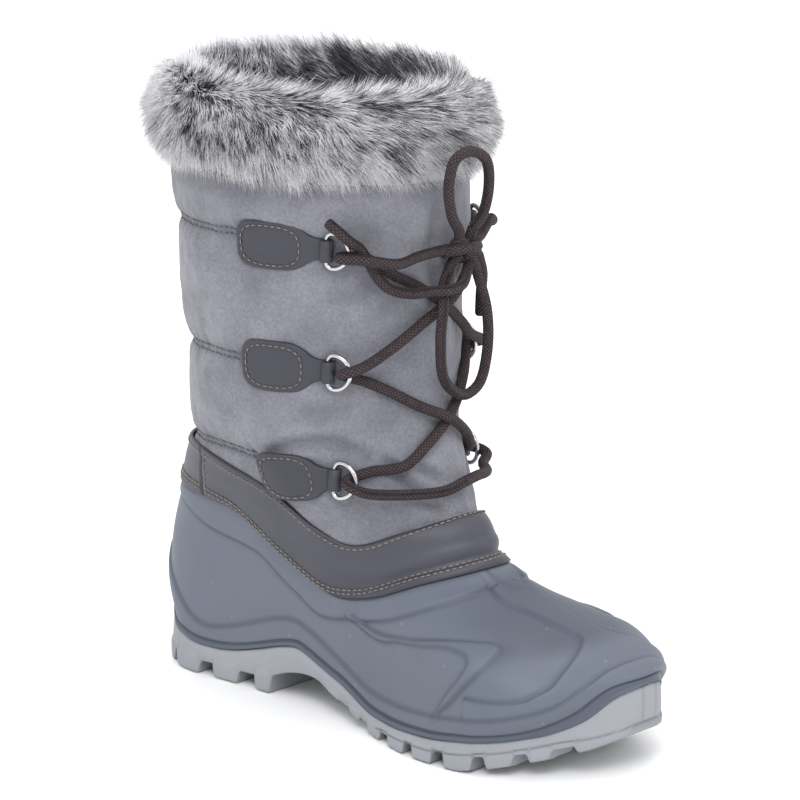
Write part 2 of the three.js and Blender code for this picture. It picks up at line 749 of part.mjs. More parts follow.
// Bow: the knot, two loops and the two cut ends
const KNOT = { x: 156.5, y: 6.5, z: 220.5 };
const knotWrap = ringTurns(12).map((a) =>
  new THREE.Vector3(KNOT.x + 5.2 * Math.cos(a), KNOT.y + 9.8 * Math.sin(a), KNOT.z + 1.6 * Math.cos(a)),
);
const wrapRings = knotWrap.map((p, i) => {
  const along = knotWrap[(i + 1) % 12].clone().sub(knotWrap[(i + 11) % 12]).normalize();
  const up = new THREE.Vector3(0, 0, 1).addScaledVector(along, -along.z).normalize();
  const out = along.clone().cross(up);
  return ringTurns(LACE_SIDES).map((a) =>
    p
      .clone()
      .addScaledVector(out, 2.6 * Math.cos(a))
      .addScaledVector(up, 2.6 * Math.sin(a)),
  );
});
const knotCore = new THREE.SphereGeometry(1, 10, 6).scale(5, 8.5, 6.6).translate(KNOT.x, KNOT.y, KNOT.z);
place("lace_knot", skin(body(solid(wrapRings, true)).add(body(knotCore))), CORD_BROWN);

function route(rows) {
  return rows.map(({ x, y, z }) => new THREE.Vector3(x, y, z));
}

const UPPER_LOOP = [
  { x: 159.5, y: 1, z: 230.3 },
  { x: 162, y: -7.5, z: 239 },
  { x: 164, y: -12.6, z: 253.7 },
  { x: 166, y: -11, z: 265 },
  { x: 166.8, y: -1.8, z: 268 },
  { x: 166, y: 10.7, z: 262.5 },
  { x: 164, y: 15.7, z: 250 },
  { x: 161.5, y: 15, z: 236.5 },
  { x: 159, y: 11.5, z: 230.3 },
];
const LOWER_LOOP = [
  { x: 155.5, y: -1.5, z: 210.5 },
  { x: 157, y: -5.8, z: 205.5 },
  { x: 160.8, y: -10, z: 198 },
  { x: 158.5, y: -8.5, z: 181 },
  { x: 156, y: -2.8, z: 162 },
  { x: 155, y: 6.2, z: 153.8 },
  { x: 155, y: 15.2, z: 150.8 },
  { x: 155.3, y: 24.2, z: 155 },
  { x: 157, y: 27, z: 170.3 },
  { x: 159, y: 23.3, z: 190 },
  { x: 158, y: 15.8, z: 210.5 },
];
place("lace_upper_loop", cordSolid(route(UPPER_LOOP), 20), CORD_BROWN);
place("lace_lower_loop", cordSolid(route(LOWER_LOOP), 26), CORD_BROWN);

const nearEnd = [
  ...route([
    { x: 160, y: 7, z: 210.6 },
    { x: 164.2, y: -1.5, z: 206.5 },
    { x: 163.4, y: -9.5, z: 205 },
    { x: 159.8, y: -15.5, z: 204.8 },
  ]),
  ...overShaft([
    { turn: -0.36, z: 204, out: 9.2 },
    { turn: -0.5, z: 206.8, out: 9.2 },
    { turn: -0.585, z: 213, out: 9.2 },
    { turn: -0.635, z: 219.8, out: 9.2 },
    { turn: -0.69, z: 226, out: 9.4 },
    { turn: -0.745, z: 229.5, out: 11.2 },
    { turn: -0.81, z: 234, out: 10.6 },
    { turn: -0.87, z: 237.5, out: 8.5 },
  ]),
];
place("lace_near_end", cordSolid(nearEnd, 26), CORD_BROWN);

const farEnd = [
  ...route([{ x: 152.5, y: 24.2, z: 214.3 }]),
  ...overShaft([
    { turn: 0.46, z: 205, out: 9.4 },
    { turn: 0.5, z: 195, out: 9 },
    { turn: 0.52, z: 184, out: 9 },
  ]),
];
place("lace_far_end", cordSolid(farEnd, 9), CORD_BROWN);

group.position.set(-ORIGIN_X, 0, 0);

export default group;
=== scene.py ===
import math
import bpy
import numpy as np
from mathutils import Matrix, Vector
from mathutils.kdtree import KDTree


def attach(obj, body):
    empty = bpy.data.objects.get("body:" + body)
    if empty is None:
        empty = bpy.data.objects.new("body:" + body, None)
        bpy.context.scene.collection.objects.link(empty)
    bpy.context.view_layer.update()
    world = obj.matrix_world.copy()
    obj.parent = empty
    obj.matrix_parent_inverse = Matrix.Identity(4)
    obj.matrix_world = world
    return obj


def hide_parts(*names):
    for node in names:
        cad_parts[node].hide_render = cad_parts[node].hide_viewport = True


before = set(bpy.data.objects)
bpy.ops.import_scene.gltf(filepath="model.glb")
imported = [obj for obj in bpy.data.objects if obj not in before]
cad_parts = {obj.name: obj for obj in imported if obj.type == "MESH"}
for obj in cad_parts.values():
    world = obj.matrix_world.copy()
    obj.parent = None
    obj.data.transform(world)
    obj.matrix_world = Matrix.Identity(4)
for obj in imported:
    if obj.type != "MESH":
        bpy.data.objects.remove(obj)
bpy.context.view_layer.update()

scene = bpy.context.scene

# ---------------------------------------------------------------------------------------------
# Camera, floor and light. The boot stands on a pale floor and is seen from ahead of its outer
# side, a little from above, in soft light from big lamps in front, behind and overhead.
CAMERA_SPOT = Vector((1.1296, -1.3347, 0.5844))
CAMERA_TURN = math.radians(40.3836)
CAMERA_PITCH = math.radians(14.0534)
CAMERA_ROLL = math.radians(1.5282)


def place_camera():
    """Stands the camera at its spot, turned, pitched down and rolled."""
    forward = Vector(
        (
            -math.sin(CAMERA_TURN) * math.cos(CAMERA_PITCH),
            math.cos(CAMERA_TURN) * math.cos(CAMERA_PITCH),
            -math.sin(CAMERA_PITCH),
        )
    )
    level = Vector((math.cos(CAMERA_TURN), math.sin(CAMERA_TURN), 0))
    upright = level.cross(forward)
    right = math.cos(CAMERA_ROLL) * level + math.sin(CAMERA_ROLL) * upright
    up = -math.sin(CAMERA_ROLL) * level + math.cos(CAMERA_ROLL) * upright
    data = bpy.data.cameras.new("camera")
    data.sensor_width = 36
    data.lens = 175.99
    camera = bpy.data.objects.new("camera", data)
    scene.collection.objects.link(camera)
    turn = Matrix((right, up, -forward)).transposed().to_4x4()
    camera.matrix_world = Matrix.Translation(CAMERA_SPOT) @ turn
    scene.camera = camera


place_camera()


def soft_lamp(name, spot, size, power, aim=(0, 0, 0.13)):
    """One square area lamp turned towards the boot."""
    data = bpy.data.lights.new(name, "AREA")
    data.shape = "SQUARE"
    data.size = size
    data.energy = power
    lamp = bpy.data.objects.new(name, data)
    lamp.location = spot
    lamp.rotation_euler = (Vector(aim) - Vector(spot)).to_track_quat("-Z", "Y").to_euler()
    scene.collection.objects.link(lamp)


soft_lamp("key_lamp", (1.0, -1.5, 1.9), 1.1, 27)
soft_lamp("side_lamp", (-1.8, -0.9, 1.2), 1.2, 2)
soft_lamp("toe_lamp", (1.9, 0.7, 1.3), 1.0, 4)
soft_lamp("top_lamp", (0, 0.3, 2.2), 1.4, 13)

world = bpy.data.worlds.new("studio")
scene.world = world
world.use_nodes = True
world.node_tree.nodes["Background"].inputs["Color"].default_value = (1, 1, 1, 1)
world.node_tree.nodes["Background"].inputs["Strength"].default_value = 1.04
scene.view_settings.view_transform = "Standard"


def material(name, rough, metal=0.0):
    """A new material, its node tree and its Principled BSDF node, with roughness and metalness set."""
    made = bpy.data.materials.new(name)
    made.use_nodes = True
    shader = made.node_tree.nodes["Principled BSDF"]
    shader.inputs["Roughness"].default_value = rough
    shader.inputs["Metallic"].default_value = metal
    return made, made.node_tree, shader


def grey(text):
    """Linear colour of a hex triple."""
    parts = [int(text[k:k + 2], 16) / 255 for k in (0, 2, 4)]
    return [c / 12.92 if c <= 0.04045 else ((c + 0.055) / 1.055) ** 2.4 for c in parts] + [1]


def node(tree, kind, inputs=None, **settings):
    """A node with its settings, and its inputs set or linked by name or number."""
    made = tree.nodes.new(kind)
    for key, value in settings.items():
        setattr(made, key, value)
    for key, value in (inputs or {}).items():
        if isinstance(value, bpy.types.NodeSocket):
            tree.links.new(value, made.inputs[key])
        else:
            made.inputs[key].default_value = value
    return made


def mixed(tree, factor, first, second, blend="MIX"):
    """Colour between two colours."""
    made = node(tree, "ShaderNodeMix", data_type="RGBA", blend_type=blend)
    for socket, value in ((0, factor), (6, first), (7, second)):
        if isinstance(value, bpy.types.NodeSocket):
            tree.links.new(value, made.inputs[socket])
        else:
            made.inputs[socket].default_value = value
    return made.outputs[2]


def reckon(tree, kind, first, second=0.0, third=0.0):
    """A Math node's value."""
    return node(tree, "ShaderNodeMath", {0: first, 1: second, 2: third}, operation=kind).outputs[0]


def group_of(name, inputs, outputs, build):
    """A shader node group with named sockets, filled by build(tree, inputs) -> outputs."""
    tree = bpy.data.node_groups.new(name, "ShaderNodeTree")
    for label, kind, value in inputs:
        socket = tree.interface.new_socket(label, in_out="INPUT", socket_type="NodeSocket" + kind)
        if value is not None:
            socket.default_value = value
    for label, kind in outputs:
        tree.interface.new_socket(label, in_out="OUTPUT", socket_type="NodeSocket" + kind)
    given = tree.nodes.new("NodeGroupInput")
    result = tree.nodes.new("NodeGroupOutput")
    for socket, value in zip(result.inputs, build(tree, given.outputs)):
        tree.links.new(value, socket)
    return tree


def build_patches(tree, given):
    """Soft uneven patches of two colours, for dye, dust and nap."""
    broad = node(tree, "ShaderNodeTexNoise", {"Vector": given["Vector"], "Scale": given["Scale"],
                                              "Detail": 4.0, "Roughness": 0.6})
    low = reckon(tree, "SUBTRACT", 0.5, given["Spread"])
    high = reckon(tree, "ADD", 0.5, given["Spread"])
    ramp = node(tree, "ShaderNodeMapRange", {"Value": broad.outputs["Fac"], "From Min": low, "From Max": high})
    return mixed(tree, ramp.outputs[0], given["First"], given["Second"]), ramp.outputs[0]


PATCHES = group_of(
    "patches",
    [("Vector", "Vector", None), ("Scale", "Float", 20.0), ("Spread", "Float", 0.15),
     ("First", "Color", (1, 1, 1, 1)), ("Second", "Color", (0, 0, 0, 1))],
    [("Color", "Color"), ("Mask", "Float")],
    build_patches,
)


def build_grain(tree, given):
    """Height of a coarse grain with a finer one on it."""
    coarse = node(tree, "ShaderNodeTexNoise", {"Vector": given["Vector"], "Scale": given["Coarse"],
                                               "Detail": 3.0})
    fine = node(tree, "ShaderNodeTexVoronoi", {"Vector": given["Vector"], "Scale": given["Fine"]})
    part = reckon(tree, "MULTIPLY", fine.outputs["Distance"], given["Fine Share"])
    return (reckon(tree, "ADD", coarse.outputs["Fac"], part),)


GRAIN = group_of(
    "grain",
    [("Vector", "Vector", None), ("Coarse", "Float", 300.0), ("Fine", "Float", 900.0),
     ("Fine Share", "Float", 0.5)],
    [("Height", "Float")],
    build_grain,
)


def placed(tree, group, inputs):
    """A shader node group placed in a material."""
    made = tree.nodes.new("ShaderNodeGroup")
    made.node_tree = group
    for key, value in inputs.items():
        if isinstance(value, bpy.types.NodeSocket):
            tree.links.new(value, made.inputs[key])
        else:
            made.inputs[key].default_value = value
    return made.outputs


def object_spot(tree):
    """Object coordinates."""
    return tree.nodes.new("ShaderNodeTexCoord").outputs["Object"]


def attribute(tree, name):
    """A piece's own attribute."""
    return node(tree, "ShaderNodeAttribute", attribute_name=name, attribute_type="GEOMETRY").outputs["Fac"]


def bump(tree, shader, height, strength, distance):
    """A Bump node from a height to the shader's normal."""
    made = node(tree, "ShaderNodeBump", {"Height": height, "Strength": strength, "Distance": distance})
    tree.links.new(made.outputs["Normal"], shader.inputs["Normal"])


def plain_surface(name, first, second, rough, scale, spread, coarse, fine, share, strength, distance,
                  dark=None, metal=0.0):
    """Material of patches and grain, with painted shade mixed in from the piece's shade attribute."""
    made, tree, shader = material(name, rough, metal)
    spot = object_spot(tree)
    colour = placed(tree, PATCHES, {"Vector": spot, "Scale": scale, "Spread": spread,
                                    "First": grey(first), "Second": grey(second)})["Color"]
    # Painted shade: the dark colour stands for shade in grooves, seams, edges and undersides.
    if dark:
        colour = mixed(tree, attribute(tree, "groove_shade"), colour, grey(dark))
    tree.links.new(colour, shader.inputs["Base Color"])
    grain = placed(tree, GRAIN, {"Vector": spot, "Coarse": coarse, "Fine": fine, "Fine Share": share})
    bump(tree, shader, grain["Height"], strength, distance)
    return made, tree, shader, colour


def mesh_piece(name, points, faces, look, values=None, uv=None):
    """A mesh object from points in metres and faces by number, all smooth, with float attributes."""
    mesh = bpy.data.meshes.new(name)
    mesh.from_pydata(np.asarray(points).tolist(), [], faces)
    mesh.polygons.foreach_set("use_smooth", np.ones(len(mesh.polygons), bool))
    for key, data in (values or {}).items():
        mesh.attributes.new(key, "FLOAT", "POINT").data.foreach_set("value", np.asarray(data, "f"))
    if uv is not None:
        corners = np.empty(len(mesh.loops), "i")
        mesh.loops.foreach_get("vertex_index", corners)
        layer = mesh.uv_layers.new(name="UVMap")
        layer.data.foreach_set("uv", np.asarray(uv, "f")[corners].ravel())
    mesh.materials.append(look)
    mesh.update()
    made = bpy.data.objects.new(name, mesh)
    scene.collection.objects.link(made)
    return made


floor_look, floor_tree, floor_shader = material("floor_paint", 0.9)
floor_shader.inputs["Base Color"].default_value = (0.97, 0.97, 0.972, 1)
FLOOR_HALF = 6.0
floor_corners = [(x, y, 0) for x, y in ((-1, -1), (1, -1), (1, 1), (-1, 1))]
floor = mesh_piece("floor", np.array(floor_corners) * FLOOR_HALF, [(0, 1, 2, 3)], floor_look)

# ---------------------------------------------------------------------------------------------
# Outsole: one thick rubber moulding, paler than the shell it is moulded to. It has a heel cup, an
# arch with a breast wall, rounded lugs along both edges and down the middle, and a toe bumper.
# All tables are in millimetres with x = 0 at the back of the heel.
ORIGIN_X = 133.65
SOLE_LENGTH = 275.0
HEEL_RADIUS = 36.0
TOE_RADIUS = 62.0


def table(names, *rows):
    """Named columns from rows of numbers."""
    return dict(zip(names.split(), np.array(rows, float).T))


PLAN = table(
    "share shift half",
    (0, -0.5, 35.5), (0.1, 0.5, 36), (0.25, 2, 35.8), (0.42, 1.2, 38), (0.55, 0, 45),
    (0.68, -3.2, 52.3), (0.8, -3, 51.6), (0.92, 2, 43.5), (1, 4.5, 36.5),
)
SOLE = table(
    "x tip under joint",
    (0, 4, 9.5, 41), (2.5, 2.8, 8.6, 36.5), (6, 1.5, 7.5, 29.5), (12, 0, 7, 21.7), (26, 0, 7, 16.7),
    (45, 0, 7, 14.9), (62, 0, 7, 17.4), (74, 0, 7.6, 20.9), (83, 0, 9.6, 23.8), (90, 11, 12.4, 25.7),
    (98, 14, 14.6, 26.9), (106, 15.2, 15.6, 25), (114, 14.6, 15, 22.3), (122, 11.4, 11.8, 20),
    (130, 9, 10, 18), (138, 6.6, 8.4, 15.4), (144, 4.6, 7, 13.2), (152, 2, 5.6, 10.7),
    (165, 0, 5, 9.9), (185, 0, 6, 10.9), (203, 0, 7, 12.4), (213, 0, 7.6, 14), (226, 2.5, 9, 15.8),
    (240, 6, 11.2, 18.7), (252, 9.8, 14, 22.6), (261, 13, 17, 28.5), (269, 17.2, 20.8, 38),
    (275, 20.8, 24, 42),
)
EDGE_LUGS = table(
    "start end",
    (2, 18), (23, 40), (49, 64), (124, 133), (141, 149), (155, 166), (172, 185), (190, 203),
    (209, 224), (229, 240), (245, 253),
)
FULL_LUGS = table("start end", (72, 82), (258, 273))
MIDDLE_LUGS = table(
    "start end", (27, 39), (49, 61), (157, 169), (176, 188), (195, 207), (214, 226), (233, 244),
)
RAND_LINE = table(
    "x z", (150, 5.9), (172, 6.2), (203, 7.1), (226, 10.5), (240, 13.5), (252, 17), (265, 20.3), (275, 25),
)


def along(rows, at, key, x):
    """Smooth curve through a table's rows."""
    a, y = rows[at], rows[key]
    x = np.clip(np.asarray(x, float), a[0], a[-1])
    step = np.diff(a)
    slope = np.diff(y) / step
    middle = (slope[:-1] * step[1:] + slope[1:] * step[:-1]) / (step[:-1] + step[1:])
    tangent = np.concatenate([slope[:1], middle, slope[-1:]])
    i = np.clip(np.searchsorted(a, x, side="right") - 1, 0, len(a) - 2)
    h = step[i]
    s = (x - a[i]) / h
    start = (2 * s**3 - 3 * s**2 + 1) * y[i] + (s**3 - 2 * s**2 + s) * h * tangent[i]
    return start + (3 * s**2 - 2 * s**3) * y[i + 1] + (s**3 - s**2) * h * tangent[i + 1]


def end_cap(distance, radius):
    k = np.clip(distance / radius, 0, 1)
    return np.sqrt(np.maximum(0, 1 - (1 - k) ** 2))


def sole_edge(turn, grow):
    """The sole's outline, seen from above; turn 0 is the toe and pi the heel."""
    x = -grow + (SOLE_LENGTH + 2 * grow) * (1 + np.cos(turn)) / 2
    share = x / SOLE_LENGTH
    half = along(PLAN, "share", "half", share) + grow
    rounding = end_cap(x + grow, HEEL_RADIUS + grow) * end_cap(SOLE_LENGTH + grow - x, TOE_RADIUS + grow)
    return x, along(PLAN, "share", "shift", share) + np.sign(np.sin(turn)) * half * rounding


def in_frame(points):
    """Millimetres from the heel to metres in the model's frame."""
    return (np.asarray(points, float) - (ORIGIN_X, 0, 0)) / 1000


def ease(x, low, high):
    s = np.clip((x - low) / (high - low), 0, 1)
    return s * s * (3 - 2 * s)


def between(x, lugs, soft):
    """1 on any of the lugs and 0 off them, with soft shoulders."""
    value = np.zeros_like(x)
    for start, end in zip(lugs["start"], lugs["end"]):
        value = np.maximum(value, ease(x, start - soft / 2, start + soft) * (1 - ease(x, end - soft, end + soft / 2)))
    return value


def grid_faces(rows, columns, around=False, first=0):
    """Quads of a grid of points, closed round its columns if asked."""
    r, c = np.meshgrid(np.arange(rows - 1), np.arange(columns if around else columns - 1), indexing="ij")
    d = (c + 1) % columns
    quads = np.stack([r * columns + c, r * columns + d, (r + 1) * columns + d, (r + 1) * columns + c], -1)
    return (quads.reshape(-1, 4) + first).tolist()


LUG_SLANT = 4.0


def lug_mask(x, y, share_across):
    """How much of a lug stands at a place of the underside."""
    size = np.abs(share_across)
    half = along(PLAN, "share", "half", x / SOLE_LENGTH)
    slanted = x + LUG_SLANT * np.clip((90 - size * half) / (90 - 0.44 * half), 0, 1)
    edge = between(slanted, EDGE_LUGS, 1.2) * ease(size, 0.42, 0.46)
    middle = between(x, MIDDLE_LUGS, 1.2) * (1 - ease(size, 0.28, 0.32))
    return np.maximum(np.maximum(edge, middle), between(x, FULL_LUGS, 1.2))


def outsole_mesh():
    """Cross-sections all along the sole: underside with its lugs, two side walls and the top."""
    x = np.concatenate([np.arange(3, 272.5, 0.8), 275 * (1 - np.cos(np.linspace(0, 0.22, 9))) / 2,
                        275 - 275 * (1 - np.cos(np.linspace(0, 0.22, 9))) / 2])
    x = np.unique(np.round(x, 3))
    turn = np.arccos(np.clip(2 * x / SOLE_LENGTH - 1, -1, 1))
    across = np.concatenate([np.linspace(-1, -0.5, 12), np.linspace(-0.47, -0.25, 10), np.linspace(-0.2, 0.2, 6),
                             np.linspace(0.25, 0.47, 10), np.linspace(0.5, 1, 12)])
    tip, under, joint = (along(SOLE, "x", key, x) for key in ("tip", "under", "joint"))
    tip = np.maximum(tip, 0)
    line = np.where(x > 160, along(RAND_LINE, "x", "z", x), -50)
    columns = []
    groove_shade = []
    near = sole_edge(-turn, 0.3)
    far = sole_edge(turn, 0.3)
    for w in across:
        px = (near[0] + far[0]) / 2
        py = near[1] + (far[1] - near[1]) * (w + 1) / 2
        mask = lug_mask(px, py, np.full_like(px, w))
        z = under + (tip - under) * mask + 0.5 * ease(abs(w), 0.9, 1) * mask
        columns.append(np.stack([px, py, z], -1))
        # Painted shade in the recesses between the lugs.
        groove_shade.append(0.25 * (1 - mask))
    wall = []
    for sign in (1, -1):
        foot = columns[-1 if sign == 1 else 0][:, 2]
        edge_mask = lug_mask(x, x, np.full_like(x, 1.0))
        rows = []
        for v in np.linspace(0, 1, 22)[1:]:
            z = foot + (joint - foot) * v
            lug_top = under + 2.6
            outward = 0.1 + 0.7 * np.sin(np.pi * np.clip(v * 1.1, 0, 1)) ** 0.7 - 0.1 * v
            outward = outward + 0.9 * edge_mask * (1 - ease(z, lug_top - 0.8, lug_top + 0.8)) * ease(z, tip - 0.5, tip + 1.4)
            cut = np.exp(-(((z - line) / 0.45) ** 2))
            seam = np.exp(-(((np.degrees(turn) - 4.5) / 0.35) ** 2)) * (z > line)
            outward = outward - 0.55 * np.maximum(cut, 0.7 * seam) - 0.9 * ease(v, 0.93, 1)
            px, py = sole_edge(sign * turn, 0)
            wide_x, wide_y = sole_edge(sign * turn, 1.0)
            # Painted shade in the rand groove, along the toe seam line and under the shell's edge at the top of the
            # wall.
            rows.append((np.stack([px + (wide_x - px) * outward, py + (wide_y - py) * outward, z], -1),
                         0.75 * np.maximum(cut, 0.6 * seam) + 0.25 * ease(v, 0.9, 1)))
        wall.append(rows)
    up = wall[0]
    down = wall[1][::-1]
    top = [np.stack([x, along(PLAN, "share", "shift", x / SOLE_LENGTH), joint - 0.6], -1)]
    loops = columns + [r[0] for r in up] + top + [r[0] for r in down]
    shade = groove_shade + [r[1] for r in up] + [np.zeros_like(x)] + [r[1] for r in down]
    points = np.stack(loops, 1)
    return points, np.stack(shade, 1)


def weld(made, reach=2e-6):
    """Merges doubles and makes every face point outwards."""
    import bmesh
    work = bmesh.new()
    work.from_mesh(made.data)
    bmesh.ops.remove_doubles(work, verts=work.verts, dist=reach)
    bmesh.ops.dissolve_degenerate(work, dist=reach / 4, edges=work.edges)
    bmesh.ops.recalc_face_normals(work, faces=work.faces)
    work.to_mesh(made.data)
    work.free()


sole_points, sole_shade = outsole_mesh()
count_x, count_round = sole_points.shape[:2]
# The dark colour is painted shade.
sole_look = plain_surface("sole_rubber", "929499", "898d93", 0.6, 18, 0.2, 500, 1300, 0.35, 0.25, 0.0003,
                          dark="565a60")[0]
outsole = mesh_piece("outsole_fine", in_frame(sole_points.reshape(-1, 3)),
                     grid_faces(count_x, count_round, around=True), sole_look, {"groove_shade": sole_shade.ravel()})
weld(outsole)
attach(outsole, "root")
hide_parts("outsole")

# ---------------------------------------------------------------------------------------------
# Shell: the blue-grey rubber foot, moulded in one with raised panels on the toe and the sides, a
# rand above a thin lip at the sole, and a dimple at each side of the heel.
SHELL_EDGE = table(
    "share z", (0, 88), (0.15, 89.3), (0.32, 86.6), (0.5, 69.3), (0.64, 58), (0.74, 60), (0.88, 70.5), (1, 79),
)
BAND_EDGE = table(
    "share z", (0, 112.4), (0.15, 115.4), (0.35, 113), (0.55, 104), (0.68, 92), (0.78, 85.5), (0.9, 92.5), (1, 99.5),
)
UPPER = table(
    "level back front heel mid fore shift back_radius front_radius",
    (0, 0, 274, 34.8, 36.6, 51.6, 0, 35, 61), (0.2, -3.6, 271, 35.9, 37.6, 51.4, 0, 35, 60),
    (0.4, -3, 262.5, 35.5, 36.6, 49.2, 0.4, 36, 57), (0.6, -1.6, 243.5, 35, 34.6, 45.6, 1.6, 38, 53),
    (0.8, -0.6, 210, 34.6, 34.7, 39, 1, 42, 50), (1, 1.5, 190, 35, 36.4, 34.6, 0, 46, 50),
    (1.5, 5.4, 181, 39.2, 42.5, 37.5, 0, 56, 56), (2, 9.9, 169.5, 46.2, 50, 44.5, 0, 66, 62),
    (2.12, 11.5, 160, 50.5, 54, 50, 0.6, 66, 62), (2.25, 12.3, 151, 54, 56.8, 54.5, 1, 66, 66),
    (2.55, 9.8, 148, 57.5, 59.8, 58.3, 1, 67, 67), (2.8, 5.5, 149, 61, 62.5, 61, 0.5, 70, 70),
    (3, 2.5, 149.5, 64, 65, 64, 0, 73, 73),
)
COLLAR_HEIGHT = 252.0
FLUSH_LEVEL = 0.4
FOLLOW_FADE = 0.8
SHELL_TOP = 1.12
RUBBER_WALL = 3.0


def upper_point(turn, level):
    """Outside of the upper: level 0 is the sole joint, 1 the shell's edge, 2 the band's top, 3 the collar."""
    turn, level = np.broadcast_arrays(np.asarray(turn, float), np.asarray(level, float))
    at = {key: along(UPPER, "level", key, level) for key in UPPER if key != "level"}
    share = (1 + np.cos(turn)) / 2
    x = at["back"] + (at["front"] - at["back"]) * share
    half = (
        at["heel"] * (share - 0.45) * (share - 0.75) / (0.33 * 0.63)
        - at["mid"] * (share - 0.12) * (share - 0.75) / (0.33 * 0.3)
        + at["fore"] * (share - 0.12) * (share - 0.45) / (0.63 * 0.3)
    )
    rounding = end_cap(x - at["back"], at["back_radius"]) * end_cap(at["front"] - x, at["front_radius"])
    follow = np.clip((1 - level) / FOLLOW_FADE, 0, 1)
    middle = follow * along(PLAN, "share", "shift", x / SOLE_LENGTH) + at["shift"] * share**2
    y = middle + np.sign(np.sin(turn)) * half * rounding
    flush = np.where(level < FLUSH_LEVEL, (1 - level / FLUSH_LEVEL) ** 2, 0)
    edge_x, edge_y = sole_edge(turn, -0.4)
    x = x + (edge_x - x) * flush
    y = y + (edge_y - y) * flush
    joint = along(SOLE, "x", "joint", x)
    edge = along(SHELL_EDGE, "share", "z", share)
    band = along(BAND_EDGE, "share", "z", share)
    z = np.where(level < 1, joint + (edge - joint) * level, edge + (band - edge) * (level - 1))
    z = np.where(level < 2, z, band + (COLLAR_HEIGHT - band) * (level - 2))
    return np.stack([x, y, z], -1)


def upper_normal(turn, level):
    h = 0.004
    turn, level = np.broadcast_arrays(np.asarray(turn, float), np.asarray(level, float))
    low = np.maximum(level - h, 0)
    ahead = upper_point(turn + h, level) - upper_point(turn - h, level)
    normal = np.cross(ahead, upper_point(turn, low + 2 * h) - upper_point(turn, low))
    return normal / np.linalg.norm(normal, axis=-1, keepdims=True)


def off_upper(turn, level, out):
    out = np.asarray(out, float)
    return upper_point(turn, level) + upper_normal(turn, level) * (out[..., None] if out.ndim else out)


# Moulded lines: turn in degrees and level; raise lifts the surface below or ahead of the line
SHELL_LINES = [
    {"depth": 0.7, "width": 1.2, "lift": 1.2, "reach": 12, "rows": (
        (180, 0.93), (149, 0.9), (139, 0.87), (126, 0.78), (115, 0.73), (111, 0.69), (108, 0.56), (103, 0.46),
        (98, 0.43), (92, 0.51), (82, 0.68), (72, 0.79), (61, 0.84), (41, 0.87), (28, 0.89), (14, 0.91))},
    {"depth": 0.75, "width": 1.25, "lift": 1.3, "reach": 14, "rows": (
        (14, 0.91), (13, 0.85), (9, 0.78), (7, 0.72), (5.5, 0.65), (5, 0.61), (7, 0.58), (11, 0.54), (19, 0.46),
        (24, 0.4), (29, 0.37), (34, 0.34), (42, 0.36), (49, 0.4))},
    {"depth": 0.3, "width": 1.2, "lift": 0.4, "reach": 6, "rows": ((12, 1.05), (7, 0.93), (3, 0.86))},
    {"depth": 0.75, "width": 1.15, "lift": -0.9, "reach": 5, "rows": (
        (72, 0.83), (67, 0.76), (58, 0.75), (44, 0.72), (32, 0.69), (28, 0.67), (28, 0.645), (32, 0.61),
        (39, 0.55), (50, 0.43), (59, 0.28), (61, 0.23))},
    {"depth": 0.7, "width": 1.15, "lift": 1.1, "reach": 6, "rows": (
        (78, 0.76), (73, 0.7), (67, 0.7), (60, 0.72), (46, 0.69), (42, 0.67), (40, 0.64), (40, 0.62), (42, 0.58),
        (47, 0.52), (56, 0.4), (63, 0.21))},
    {"depth": 0.5, "width": 1.3, "lift": -0.9, "reach": 8, "rows": (
        (180, 0.4), (160, 0.37), (150, 0.32), (145, 0.24), (140, 0.16), (134, 0.13), (123, 0.17), (110, 0.22),
        (103, 0.21), (98, 0.2), (92, 0.16), (86, 0.15), (80, 0.17), (73, 0.19), (57, 0.21), (37, 0.21),
        (29, 0.21), (24, 0.24), (18, 0.3), (10, 0.37), (3, 0.39), (0, 0.39))},
]
LIP_HEIGHT = 2.7


def line_samples(rows, side, count=500):
    """Points and upward sideways directions all along a moulded line."""
    rows = np.array(rows, float)
    knots = table("s turn level", *[(k, *row) for k, row in enumerate(rows)])
    s = np.linspace(0, len(rows) - 1, count)
    turn = side * np.radians(along(knots, "s", "turn", s))
    level = along(knots, "s", "level", s)
    points = upper_point(turn, level)
    normal = upper_normal(turn, level)
    tangent = np.gradient(points, axis=0)
    sideways = np.cross(normal, tangent) * side
    return points, sideways / np.linalg.norm(sideways, axis=-1, keepdims=True)


def moulded(points):
    """Outward shift and painted groove shade of each shell point."""
    shift = np.zeros(len(points))
    dark = np.zeros(len(points))
    for line in SHELL_LINES:
        for side in (-1, 1):
            spots, sideways = line_samples(line["rows"], side)
            tree = KDTree(len(spots))
            for k, spot in enumerate(spots):
                tree.insert(spot, k)
            tree.balance()
            near = np.nonzero(points[:, 1] * side > -14)[0]
            found = [tree.find(points[k]) for k in near]
            index = np.array([f[1] for f in found])
            distance = np.array([f[2] for f in found])
            signed = np.einsum("ij,ij->i", points[near] - spots[index], sideways[index])
            inside = (index > 0) & (index < len(spots) - 1)
            distance = np.where(inside, np.maximum(np.abs(signed), np.sqrt(np.maximum(distance**2 - 4, 0))), distance)
            groove_shade = np.exp(-((distance / line["width"]) ** 2))
            fade = np.exp(-((distance / line["reach"]) ** 2)) * inside
            below = 1 - ease(signed, -1.3, 1.3)
            shift[near] += line["lift"] * (below * fade) - line["depth"] * groove_shade
            # Painted shade along each moulded groove.
            dark[near] = np.maximum(dark[near], 0.5 * groove_shade)
    return shift, dark


SHELL_AROUND = 600
shell_turns = np.linspace(0, 2 * np.pi, SHELL_AROUND, endpoint=False)
shell_levels = np.concatenate([np.linspace(0, 0.09, 18), np.linspace(0.09, SHELL_TOP, 116)[1:]])


